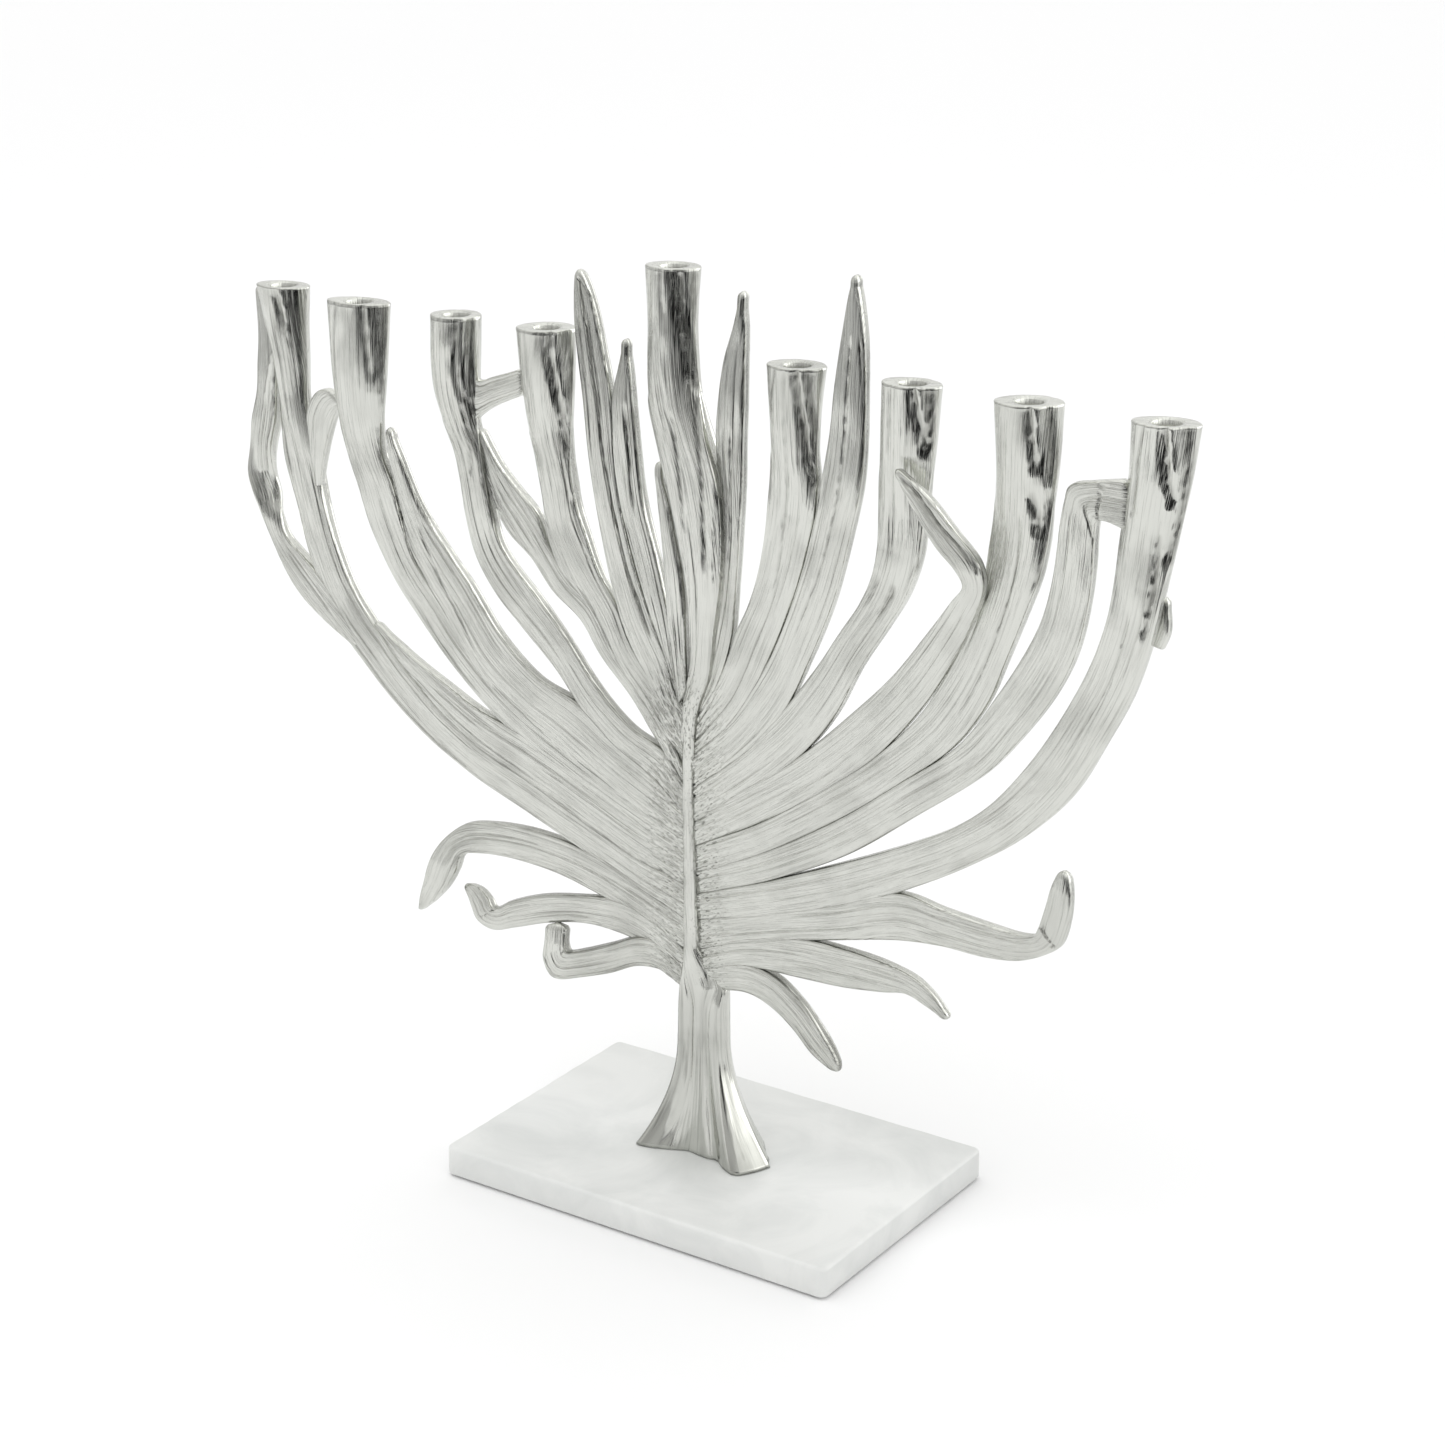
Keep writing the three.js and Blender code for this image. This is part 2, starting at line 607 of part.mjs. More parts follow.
addLeaf('outer_fold_left', [
  at(-177, 187, -173, 191, 0, 4.5),
  at(-192, 199.5, -184, 208),
  at(-202.5, 207.5, -192, 217),
  at(-211, 217.5, -201, 224.5),
  at(-217, 228.5, -209.5, 231.5),
  fold(-220.5, -2.5, 238.5, -213, 1, 239.5),
  fold(-224, -3.5, 247, -215, 3.5, 247.5),
  fold(-227, -2.5, 256.5, -216.5, 2, 257.5),
  at(-225.5, 268, -214.5, 268.5, -0.5, 6),
  at(-223.5, 279, -211.5, 280, -0.5, 6.5),
  at(-220, 291, -210.5, 292, -0.5, 6.5),
  at(-218.8, 303, -209.5, 303.5, -0.5, 6.5),
  at(-218, 314, -209.5, 314.5, -0.5, 6.2),
  at(-218.3, 324, -211, 324.5, -0.5, 5.5),
  at(-219, 334.2, -214, 334.8, -0.5, 4.5),
]);

// ---------------------------------------------------------------- blades on the right
addLeaf('blade_5_6', [
  at(-5, 197.5, -7, 192),
  at(0, 213, 2, 206),
  at(3, 233, 9, 226),
  at(5, 252, 11.5, 250),
  at(6, 270, 13, 270),
  at(4, 287, 14, 287),
  at(2.5, 302, 14.3, 302),
  at(3.5, 318, 14.8, 318),
  at(6, 333, 15, 333.5),
  at(10, 346, 15.2, 346.5, 0, 4.5),
  at(13, 359, 14, 359, 0, 4),
]);

addLeaf('blade_6_7', [
  at(-7.5, 177.5, -7.5, 165),
  at(10.5, 196, 14, 182.5),
  at(25, 219.5, 33, 204),
  at(33, 238, 44, 226),
  at(40.5, 260, 53.5, 249),
  at(46, 282, 60, 273),
  at(49, 298, 64.7, 294.5),
  at(51.5, 313, 66, 313),
  at(53.3, 330, 66, 330),
  at(56, 348, 65.5, 348),
  at(58.5, 363, 63.3, 363, 0, 4.5),
  at(60.5, 370.4, 61.3, 370.4, 0, 4),
]);

addLeaf('blade_7_8', [
  at(-7.5, 150.5, -7, 141.5),
  at(14.5, 167.5, 21, 156.5),
  at(40.5, 187, 50, 176),
  at(63, 208.5, 73, 194.5),
  at(80, 227, 90, 214),
  at(94, 245.5, 103.5, 234.5, -1),
  at(105, 260, 113.5, 253.5, -3.5),
  at(111, 268, 119.5, 268.5, -7, 4.5),
  at(109.5, 273.5, 118.5, 278, -9.5, 4.5),
  at(102, 281, 109.5, 288, -10.5, 4.5),
  at(91.5, 294.5, 98, 299, -10.5, 4),
  at(84.2, 305.5, 85.4, 307, -10.5, 3.5),
]);

addLeaf('blade_8_9', [
  at(-6.5, 129.5, -6, 121.5),
  at(24, 144.5, 28, 135.5),
  at(55.5, 164, 61, 153),
  at(84, 186, 91, 175),
  at(108, 206, 119, 197),
  at(122.5, 227, 133, 213.5),
  at(132, 243, 145, 231),
  at(139, 258, 152.5, 247),
  at(142.5, 272, 156.5, 264),
  at(144.5, 286, 158.3, 278.5, -0.5),
  at(145.6, 295.4, 158.8, 289, -1),
  at(147, 303, 159.2, 295.5, -1.3),
  at(149, 308.7, 160, 298, -1.7),
  at(158, 311.5, 163, 298.5, -2),
  at(168.5, 314, 168.5, 296, -1.5, 4.5),
]);

addLeaf('spur_9', [
  at(177.5, 256, 183.5, 254.5, 4.5, 3.5),
  at(179.5, 261, 185.5, 260, 4.5, 3.5),
  at(181.5, 267, 185.3, 266.8, 4.5, 3.5),
  at(183, 273, 183.8, 273, 4.5, 3),
]);

// ---------------------------------------------------------------- drooping blades
addLeaf('droop_left_upper', [
  at(-11, 96.5, -11, 108.5),
  at(-33, 105, -34, 117),
  at(-54.5, 110.5, -57, 125.5),
  at(-75, 114.5, -82, 129),
  at(-98, 116, -105, 128.5, -1.5),
  at(-112, 115, -117.5, 126, -3.5),
  at(-117.5, 113.5, -126.5, 118.5, -6),
  at(-119, 108, -132.5, 109, -8),
  at(-123, 100, -135.5, 99, -9, 4.5),
  at(-130, 92, -137.5, 91, -9.5, 4.5),
  at(-137, 86, -138, 86, -10, 4),
]);

addLeaf('droop_left_middle', [
  at(-11, 86, -11, 94.5),
  at(-26, 93, -26, 103.5),
  at(-42, 96, -44, 108.5),
  at(-58, 97, -62, 106.8, -1.5),
  at(-76, 94.2, -79, 104, -5),
  at(-90, 89.8, -92.5, 99.2, -8),
  at(-100, 87.2, -97, 96.5, -9.8),
  at(-107, 89.3, -100, 96, -9.8),
  at(-110.3, 93, -102.3, 98.5, -9, 4.5),
  at(-113.5, 97, -107.5, 101.3, -7.5, 4.5),
  at(-117, 100.5, -115, 102, -6, 4),
]);

addLeaf('droop_left_lower', [
  at(-11, 78.5, -11, 85),
  at(-16.5, 82, -17, 90),
  at(-24, 85, -25, 95),
  at(-34.5, 84.5, -34, 95.5, -1),
  at(-46, 79.5, -46, 90.5, -3.5),
  at(-59, 75.5, -58, 86, -7),
  at(-67.5, 73, -64, 84.3, -8),
  at(-71.5, 73.4, -64.8, 84.8, -8),
  at(-75, 79.5, -65.4, 85.8, -7.9),
  at(-74.6, 87, -66, 88.5, -7.4, 4.5),
  at(-74.8, 94.5, -66.2, 95.5, -6, 4.5),
]);

addLeaf('droop_right_upper', [
  at(-5.5, 110, -5, 99),
  at(23, 119.5, 23, 108.5),
  at(55, 130, 57, 117.5),
  at(83, 142, 85, 124),
  at(104, 140.5, 104, 126.3, -1),
  at(124, 139.7, 123, 127.2, -2.5),
  at(137, 140, 138, 130.3, -4),
  at(143, 141.5, 149, 136, -5),
  at(144.8, 144.5, 154, 140.3, -5.3),
  at(147.5, 153.9, 157, 150.3, -5.3, 4.5),
  at(149.3, 162, 157.3, 160, -4.8, 4.5),
  at(151.8, 168.8, 155.8, 168.2, -4.2, 4),
]);

addLeaf('droop_right_middle', [
  at(-4.5, 98, -3.5, 90.5),
  at(16, 107, 17, 96.5),
  at(42, 113, 41, 98),
  at(60, 114, 61, 99.5, -1),
  at(81, 113.5, 79.5, 102.5, -2.5),
  at(93.5, 111, 90, 104.5, -3),
  at(102, 105.5, 98.5, 101.5, -3, 4.5),
  at(107.8, 98.8, 106.6, 97.8, -3, 4),
]);

addLeaf('droop_right_lower', [
  at(-3, 90, -2, 82),
  at(15, 96, 16.5, 85.5),
  at(29, 94.5, 27, 83),
  at(41.5, 86.5, 38, 76),
  at(51, 76, 47, 67.5),
  at(57, 67.5, 54, 63.5, 0, 4.5),
  at(58.8, 62.8, 57.8, 62, 0, 4),
]);

export default group;
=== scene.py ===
import math

import bpy
import numpy as np
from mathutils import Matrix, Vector


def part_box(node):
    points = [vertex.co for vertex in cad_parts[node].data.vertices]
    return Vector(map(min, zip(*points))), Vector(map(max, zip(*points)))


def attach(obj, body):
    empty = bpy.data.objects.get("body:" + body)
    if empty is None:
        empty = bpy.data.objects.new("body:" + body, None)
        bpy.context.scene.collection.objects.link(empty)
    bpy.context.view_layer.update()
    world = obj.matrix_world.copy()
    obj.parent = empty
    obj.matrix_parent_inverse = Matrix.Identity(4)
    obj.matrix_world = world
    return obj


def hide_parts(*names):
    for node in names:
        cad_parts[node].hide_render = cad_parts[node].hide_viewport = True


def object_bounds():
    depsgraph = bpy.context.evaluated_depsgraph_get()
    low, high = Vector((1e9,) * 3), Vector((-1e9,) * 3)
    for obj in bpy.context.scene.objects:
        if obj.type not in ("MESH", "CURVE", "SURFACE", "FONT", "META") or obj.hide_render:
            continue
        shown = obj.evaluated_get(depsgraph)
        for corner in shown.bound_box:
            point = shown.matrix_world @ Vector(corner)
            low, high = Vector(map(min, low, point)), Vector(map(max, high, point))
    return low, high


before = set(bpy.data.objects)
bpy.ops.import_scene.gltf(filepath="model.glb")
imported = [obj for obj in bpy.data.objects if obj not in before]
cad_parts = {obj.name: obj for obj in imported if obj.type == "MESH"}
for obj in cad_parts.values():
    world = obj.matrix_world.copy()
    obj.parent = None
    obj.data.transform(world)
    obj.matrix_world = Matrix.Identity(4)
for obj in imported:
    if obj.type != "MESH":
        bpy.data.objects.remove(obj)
cad_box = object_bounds()

# ------------------------------------------------------------------ camera
# A long lens stands to the right of the menorah and a little above it, so that the
# fan of branches turns away to the left and the tops of the candle cups show.
MM = 0.001
CAMERA_TURN = math.radians(34.0065)
CAMERA_RISE = math.radians(19.81)
CAMERA_DISTANCE = 1266.8 * MM
AIM_RIGHT = 3.56 * MM
AIM_UP = 180.66 * MM
LENS = 79.2

to_right = Vector((math.cos(CAMERA_TURN), math.sin(CAMERA_TURN), 0))
to_camera = Vector((
    math.sin(CAMERA_TURN) * math.cos(CAMERA_RISE),
    -math.cos(CAMERA_TURN) * math.cos(CAMERA_RISE),
    math.sin(CAMERA_RISE),
))
picture_up = to_camera.cross(to_right)
camera_data = bpy.data.cameras.new("camera")
camera_data.lens = LENS
camera_data.sensor_width = 36
camera_data.clip_end = 50
camera = bpy.data.objects.new("camera", camera_data)
camera.location = to_right * AIM_RIGHT + picture_up * AIM_UP + to_camera * CAMERA_DISTANCE
camera.rotation_euler = to_camera.to_track_quat("Z", "Y").to_euler()
bpy.context.scene.collection.objects.link(camera)
bpy.context.scene.camera = camera


# ------------------------------------------------------------------ floor and light
# A pale seamless floor in a white room.  Only the metal's mirror rays see a studio round
# it: soft panels, one dark cloth, and the dim floor beyond the edge of a white table.
FLOOR_SIZE = 12.0
FLOOR_DROP = 0.0002
ROOM_BRIGHTNESS = 1.12
DIM_FLOOR_REACH = 5.0
DIM_FLOOR_HEIGHT = 0.002
DIM_FLOOR_TURN = 5

bpy.context.scene.view_settings.view_transform = "Standard"


def new_material(name):
    material = bpy.data.materials.new(name)
    material.use_nodes = True
    shader = material.node_tree.nodes["Principled BSDF"]
    return material, material.node_tree, shader


def link_object(obj):
    bpy.context.scene.collection.objects.link(obj)
    return obj


def mesh_object(name, vertices, faces, material):
    mesh = bpy.data.meshes.new(name)
    mesh.from_pydata([tuple(v) for v in vertices], [], faces)
    mesh.update()
    mesh.materials.append(material)
    return link_object(bpy.data.objects.new(name, mesh))


def make_floor():
    material, tree, shader = new_material("pale_floor")
    cloud = tree.nodes.new("ShaderNodeTexNoise")
    cloud.inputs["Scale"].default_value = 3.0
    ramp = tree.nodes.new("ShaderNodeValToRGB")
    ramp.color_ramp.elements[0].color = (0.86, 0.86, 0.86, 1)
    ramp.color_ramp.elements[1].color = (0.9, 0.9, 0.9, 1)
    tree.links.new(cloud.outputs["Fac"], ramp.inputs["Fac"])
    tree.links.new(ramp.outputs["Color"], shader.inputs["Base Color"])
    shader.inputs["Roughness"].default_value = 0.9
    half = FLOOR_SIZE / 2
    corners = [(-half, -half, 0), (half, -half, 0), (half, half, 0), (-half, half, 0)]
    floor = mesh_object("floor", corners, [(0, 1, 2, 3)], material)
    floor.location.z = -FLOOR_DROP


def make_room():
    """White for the camera and the floor; the metal's mirror rays see the panels."""
    world = bpy.data.worlds.new("white_room")
    bpy.context.scene.world = world
    world.use_nodes = True
    tree = world.node_tree
    tree.nodes.clear()
    link = tree.links.new
    out = tree.nodes.new("ShaderNodeOutputWorld")
    white = tree.nodes.new("ShaderNodeBackground")
    white.inputs["Color"].default_value = (1, 1, 1, 1)
    white.inputs["Strength"].default_value = ROOM_BRIGHTNESS
    studio = tree.nodes.new("ShaderNodeBackground")
    studio.inputs["Color"].default_value = (1, 1, 0.985, 1)
    path = tree.nodes.new("ShaderNodeLightPath")
    choose = tree.nodes.new("ShaderNodeMixShader")
    place = tree.nodes.new("ShaderNodeTexCoord")

    def lobe(direction, width, edge):
        """1 inside a soft round panel in this direction, 0 outside it."""
        dot = tree.nodes.new("ShaderNodeVectorMath")
        dot.operation = "DOT_PRODUCT"
        dot.inputs[1].default_value = Vector(direction).normalized()
        soft = tree.nodes.new("ShaderNodeMapRange")
        soft.interpolation_type = "SMOOTHSTEP"
        soft.inputs["From Min"].default_value = math.cos(math.radians(width + edge))
        soft.inputs["From Max"].default_value = math.cos(math.radians(width))
        link(place.outputs["Generated"], dot.inputs[0])
        link(dot.outputs["Value"], soft.inputs["Value"])
        return soft.outputs["Result"]

    total = None
    for direction, width, edge, strength in STUDIO_PANELS:
        scaled = tree.nodes.new("ShaderNodeMath")
        scaled.operation = "MULTIPLY_ADD"
        scaled.inputs[1].default_value = strength
        link(lobe(direction, width, edge), scaled.inputs[0])
        if total is None:
            scaled.inputs[2].default_value = STUDIO_DIM
        else:
            link(total, scaled.inputs[2])
        total = scaled.outputs["Value"]
    link(total, studio.inputs["Strength"])
    link(path.outputs["Is Glossy Ray"], choose.inputs["Fac"])
    link(white.outputs["Background"], choose.inputs[1])
    link(studio.outputs["Background"], choose.inputs[2])
    link(choose.outputs["Shader"], out.inputs["Surface"])


def make_dim_floor():
    """The studio floor beyond the table, seen only by the metal's mirror rays."""
    material, tree, shader = new_material("studio_floor")
    glow = tree.nodes.new("ShaderNodeEmission")
    dim = tree.nodes.new("ShaderNodeAttribute")
    dim.attribute_name = "brightness"
    tree.links.new(dim.outputs["Fac"], glow.inputs["Strength"])
    out = tree.nodes["Material Output"]
    tree.links.new(glow.outputs["Emission"], out.inputs["Surface"])
    turns = [math.radians(t) for t in range(-180, 181, DIM_FLOOR_TURN)]
    bearings = [turn for turn, reach in TABLE_EDGE]
    reaches = [reach for turn, reach in TABLE_EDGE]
    edge = [float(np.interp(math.degrees(t), bearings, reaches)) for t in turns]
    rim = [DIM_FLOOR_REACH] * len(turns)
    inner, outer = ([(r * math.sin(t), -r * math.cos(t), DIM_FLOOR_HEIGHT) for r, t in zip(reach, turns)]
                    for reach in (edge, rim))
    count = len(turns)
    faces = [(k, k + 1, count + k + 1, count + k) for k in range(count - 1)]
    card = mesh_object("studio_floor", inner + outer, faces, material)
    shade = card.data.attributes.new("brightness", "FLOAT", "POINT")
    bearings = [turn for turn, level in DIM_FLOOR_LEVELS]
    levels = [level for turn, level in DIM_FLOOR_LEVELS]
    values = [float(np.interp(math.degrees(t), bearings, levels)) for t in turns]
    shade.data.foreach_set("value", values + values)
    card.visible_camera = False
    card.visible_diffuse = False
    card.visible_shadow = False
    card.visible_transmission = False


def panel(name, place, aim, width, height, power):
    data = bpy.data.lights.new(name, "AREA")
    data.shape = "RECTANGLE"
    data.size = width
    data.size_y = height
    data.energy = power
    light = link_object(bpy.data.objects.new(name, data))
    light.location = place
    light.rotation_euler = (Vector(place) - Vector(aim)).to_track_quat("Z", "Y").to_euler()
    return light


# Each panel is its direction, its radius and soft edge in degrees, and its brightness;
# the last one is the dark cloth, which takes light away.
STUDIO_DIM = 0.6
STUDIO_PANELS = [
    ((0.0, 0.1, 1.0), 38, 22, 0.6),
    ((0.9, 0.55, 0.1), 26, 18, 0.9),
    ((0.56, 0.83, 0.35), 20, 14, 1.2),
    ((1.0, -0.12, 0.25), 18, 14, 0.6),
    ((-0.95, -0.5, 0.35), 16, 10, 0.3),
    ((-0.3, 1.0, 0.15), 28, 20, 0.35),
    ((0.56, -0.83, 0.05), 13, 12, -0.56),
]
# Bearings are degrees from the front towards the right: how far the table reaches, in
# metres, and how bright the floor beyond it is.
TABLE_EDGE = [(-180, 1.6), (-90, 1.6), (-50, 1.25), (-15, 1.05), (6, 0.88), (14, 0.66),
              (62, 0.64), (74, 0.9), (110, 1.4), (180, 1.6)]
DIM_FLOOR_LEVELS = [(-180, 0.9), (-120, 0.8), (-75, 0.65), (-30, 0.6), (2, 0.4), (13, 0.01),
                    (62, 0.005), (76, 0.8), (100, 1.0), (180, 0.9)]

make_floor()
make_room()
make_dim_floor()
panel("overhead_panel", (-0.5, -0.4, 1.8), (0, 0, 0.2), 1.6, 1.6, 6).visible_glossy = False


# ------------------------------------------------------------------ felt pad
# A sheet of dark felt glued under the marble, cut a little smaller than the slab so that
# only a thin dark line of it shows.
FELT_COLOUR = (0.03, 0.03, 0.034, 1)


def felt_material():
    material, tree, shader = new_material("pressed_felt")
    place = tree.nodes.new("ShaderNodeTexCoord")
    fibre = tree.nodes.new("ShaderNodeTexNoise")
    fibre.inputs["Scale"].default_value = 1800
    fibre.inputs["Detail"].default_value = 4
    tone = tree.nodes.new("ShaderNodeValToRGB")
    tone.color_ramp.elements[0].color = FELT_COLOUR
    tone.color_ramp.elements[1].color = (0.09, 0.09, 0.1, 1)
    bump = tree.nodes.new("ShaderNodeBump")
    bump.inputs["Strength"].default_value = 0.6
    bump.inputs["Distance"].default_value = 0.0003
    tree.links.new(place.outputs["Object"], fibre.inputs["Vector"])
    tree.links.new(fibre.outputs["Fac"], tone.inputs["Fac"])
    tree.links.new(tone.outputs["Color"], shader.inputs["Base Color"])
    tree.links.new(fibre.outputs["Fac"], bump.inputs["Height"])
    tree.links.new(bump.outputs["Normal"], shader.inputs["Normal"])
    shader.inputs["Roughness"].default_value = 0.95
    shader.inputs["Sheen Weight"].default_value = 0.4
    return material


felt_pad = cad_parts["felt_pad"]
felt_pad.data.materials.clear()
felt_pad.data.materials.append(felt_material())


# ------------------------------------------------------------------ marble slab
# A honed slab of white marble with faint grey clouds in it and softly eased edges,
# drilled from below for the two screws that hold the trunk.
def marble_material():
    material, tree, shader = new_material("honed_marble")
    place = tree.nodes.new("ShaderNodeTexCoord")
    cloud = tree.nodes.new("ShaderNodeTexNoise")
    cloud.inputs["Scale"].default_value = 22
    cloud.inputs["Detail"].default_value = 6
    cloud.inputs["Roughness"].default_value = 0.6
    cloud.inputs["Distortion"].default_value = 0.8
    tone = tree.nodes.new("ShaderNodeValToRGB")
    tone.color_ramp.elements[0].position = 0.32
    tone.color_ramp.elements[0].color = (0.6, 0.612, 0.598, 1)
    tone.color_ramp.elements[1].position = 0.62
    tone.color_ramp.elements[1].color = (0.71, 0.717, 0.7, 1)
    grain = tree.nodes.new("ShaderNodeTexNoise")
    grain.inputs["Scale"].default_value = 900
    gloss = tree.nodes.new("ShaderNodeMapRange")
    gloss.inputs["To Min"].default_value = 0.28
    gloss.inputs["To Max"].default_value = 0.34
    bump = tree.nodes.new("ShaderNodeBump")
    bump.inputs["Strength"].default_value = 0.02
    bump.inputs["Distance"].default_value = 0.0002
    tree.links.new(place.outputs["Object"], cloud.inputs["Vector"])
    tree.links.new(place.outputs["Object"], grain.inputs["Vector"])
    tree.links.new(cloud.outputs["Fac"], tone.inputs["Fac"])
    tree.links.new(tone.outputs["Color"], shader.inputs["Base Color"])
    tree.links.new(grain.outputs["Fac"], gloss.inputs["Value"])
    tree.links.new(gloss.outputs["Result"], shader.inputs["Roughness"])
    tree.links.new(grain.outputs["Fac"], bump.inputs["Height"])
    tree.links.new(bump.outputs["Normal"], shader.inputs["Normal"])
    return material


MARBLE_EDGE = 1.7 * MM
MARBLE_CORNER = 3.0 * MM
MARBLE_FOOT_EDGE = 0.7 * MM
MARBLE_WEAR = 0.22 * MM
EDGE_STEPS = 7
CORNER_STEPS = 8
SIDE_STEPS = 40
BORE_SIDES = 48
WORN_FROM_RING = 4
SCREW_OFFSET = 9 * MM
SCREW_BORE = 2.35 * MM
HEAD_BORE = 5.4 * MM
HEAD_BORE_TOP = 6.7 * MM


def slab_outline(inset):
    """Points round the slab, rounded at its four corners."""
    half_x = cad_marble[1][0] - inset
    half_y = cad_marble[1][1] - inset
    radius = max(MARBLE_CORNER - inset, 0.4 * MM)
    spots = []
    for quarter in range(4):
        sign_x = (1, -1, -1, 1)[quarter]
        sign_y = (1, 1, -1, -1)[quarter]
        for step in range(CORNER_STEPS + 1):
            turn = math.radians(90 * (quarter + step / CORNER_STEPS))
            spots.append((sign_x * (half_x - radius) + radius * math.cos(turn),
                          sign_y * (half_y - radius) + radius * math.sin(turn)))
        ahead = ((-sign_x * (half_x - radius), spots[-1][1]) if quarter % 2 == 0
                 else (spots[-1][0], -sign_y * (half_y - radius)))
        last = spots[-1]
        for step in range(1, SIDE_STEPS):
            share = step / SIDE_STEPS
            spots.append((last[0] + (ahead[0] - last[0]) * share,
                          last[1] + (ahead[1] - last[1]) * share))
    return spots


def make_marble():
    low, high = cad_marble[0][2], cad_marble[1][2]
    rings = [(low, MARBLE_FOOT_EDGE), (low + MARBLE_FOOT_EDGE * 0.3, MARBLE_FOOT_EDGE * 0.3),
             (low + MARBLE_FOOT_EDGE, 0), ((low + high) / 2, 0)]
    for step in range(EDGE_STEPS + 1):
        turn = math.radians(90 * step / EDGE_STEPS)
        rings.append((high - MARBLE_EDGE + MARBLE_EDGE * math.sin(turn),
                      MARBLE_EDGE - MARBLE_EDGE * math.cos(turn)))
    vertices = []
    for level, (height, inset) in enumerate(rings):
        for x, y in slab_outline(inset):
            wave = math.sin(x / MM * 0.21 + y / MM * 0.17) * math.sin(y / MM * 0.31 - x / MM * 0.07)
            wear = 0.5 + 0.5 * wave
            worn = 0 if level < WORN_FROM_RING else min(level - WORN_FROM_RING + 1, 4) / 4
            give = MARBLE_WEAR * wear * worn
            size = max(abs(x) / cad_marble[1][0], abs(y) / cad_marble[1][1])
            vertices.append((x * (1 - give / cad_marble[1][0]), y * (1 - give / cad_marble[1][1]),
                             height - give * 0.5 * (size > 0.9) * (level < len(rings) - 1)))
    count = len(vertices) // len(rings)
    faces = []
    for row in range(len(rings) - 1):
        for k in range(count):
            a = row * count + k
            b = row * count + (k + 1) % count
            faces.append((a, b, b + count, a + count))
    faces.append(tuple(range(count - 1, -1, -1)))
    faces.append(tuple(range((len(rings) - 1) * count, len(rings) * count)))
    slab = mesh_object("marble_slab", vertices, faces, marble_material())
    for side in (-1, 1):
        for radius, top in ((SCREW_BORE, high + MM), (HEAD_BORE, HEAD_BORE_TOP)):
            bore = bpy.data.meshes.new("bore")
            turns = [math.radians(360 * k / BORE_SIDES) for k in range(BORE_SIDES)]
            circle = [(side * SCREW_OFFSET + radius * math.cos(t), radius * math.sin(t)) for t in turns]
            walls = []
            for k in range(BORE_SIDES):
                after = (k + 1) % BORE_SIDES
                walls.append((k, after, BORE_SIDES + after, BORE_SIDES + k))
            caps = [tuple(range(BORE_SIDES - 1, -1, -1)), tuple(range(BORE_SIDES, 2 * BORE_SIDES))]
            bore.from_pydata([(x, y, z) for z in (low - MM, top) for x, y in circle], [], walls + caps)
            drill = link_object(bpy.data.objects.new("drill", bore))
            cut = slab.modifiers.new("bore", "BOOLEAN")
            cut.operation = "DIFFERENCE"
            cut.solver = "EXACT"
            cut.object = drill
            bpy.context.view_layer.update()
            result = slab.evaluated_get(bpy.context.evaluated_depsgraph_get())
            drilled = bpy.data.meshes.new_from_object(result)
            slab.modifiers.clear()
            slab.data = drilled
            bpy.data.objects.remove(drill)
    slab.data.shade_smooth()
    slab.data.set_sharp_from_angle(angle=math.radians(40))
    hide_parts("marble_base")
    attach(slab, "root")


cad_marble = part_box("marble_base")
make_marble()


# ------------------------------------------------------------------ screws and washers
# Two zinc-plated screws with a washer each come up through the slab into the foot of the
# trunk; they sit in counterbores that the felt covers.
def zinc_material():
    material, tree, shader = new_material("zinc_plate")
    place = tree.nodes.new("ShaderNodeTexCoord")
    patch = tree.nodes.new("ShaderNodeTexNoise")
    patch.inputs["Scale"].default_value = 400
    tone = tree.nodes.new("ShaderNodeValToRGB")
    tone.color_ramp.elements[0].color = (0.42, 0.42, 0.44, 1)
    tone.color_ramp.elements[1].color = (0.62, 0.62, 0.62, 1)
    tree.links.new(place.outputs["Object"], patch.inputs["Vector"])
    tree.links.new(patch.outputs["Fac"], tone.inputs["Fac"])
    tree.links.new(tone.outputs["Color"], shader.inputs["Base Color"])
    shader.inputs["Metallic"].default_value = 1
    shader.inputs["Roughness"].default_value = 0.35
    return material


zinc_plate = zinc_material()
for fixing in ("base_screw_left", "base_screw_right", "base_washer_left", "base_washer_right"):
    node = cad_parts[fixing]
    node.data.materials.clear()
    node.data.materials.append(zinc_plate)


# ------------------------------------------------------------------ trunk
# A fluted casting, nickel plated like the rest: its foot spreads into toes at the four
# corners, and above the waist it narrows to the slim rib that the leaves grow from.
BASE_TOP = 13.2
FOOT_GAP = 0.3
WAIST_HEIGHT = 60
TRUNK_TOP = 197
LEFT_FLARE = 2.1
RIGHT_FLARE = 1.7
RING_SPACING = 1.4
POINTS_PER_SIDE = 6
SKIN_DEPTH = 0.3
FOOT = [(-27, -16), (-20, -15.5), (-13.5, -13), (-6, -9.8), (2.5, -11), (8.5, -10.3),
        (14.5, -14.5), (22, -16.2), (28.6, -5), (27.5, -1), (21, 7), (14, 14.5), (7, 11),
        (-2, 10.5), (-12, 12.5), (-20, 15.5), (-26, 15), (-24, 5), (-25, -6)]
WAIST = [(-14, -4.6), (-10.5, -5.2), (-8, -4.2), (-5, -5.2), (-2, -5.2), (0, -4.2),
         (2.5, -5), (5.7, -4.9), (7.1, -2.5), (7.5, 0.3), (6.8, 2.5), (4.5, 4.6), (1.5, 4.6),
         (-2, 5.2), (-5, 4.6), (-9, 5.2), (-12.8, 4.6), (-14.5, 2.2), (-14.5, -1.5)]
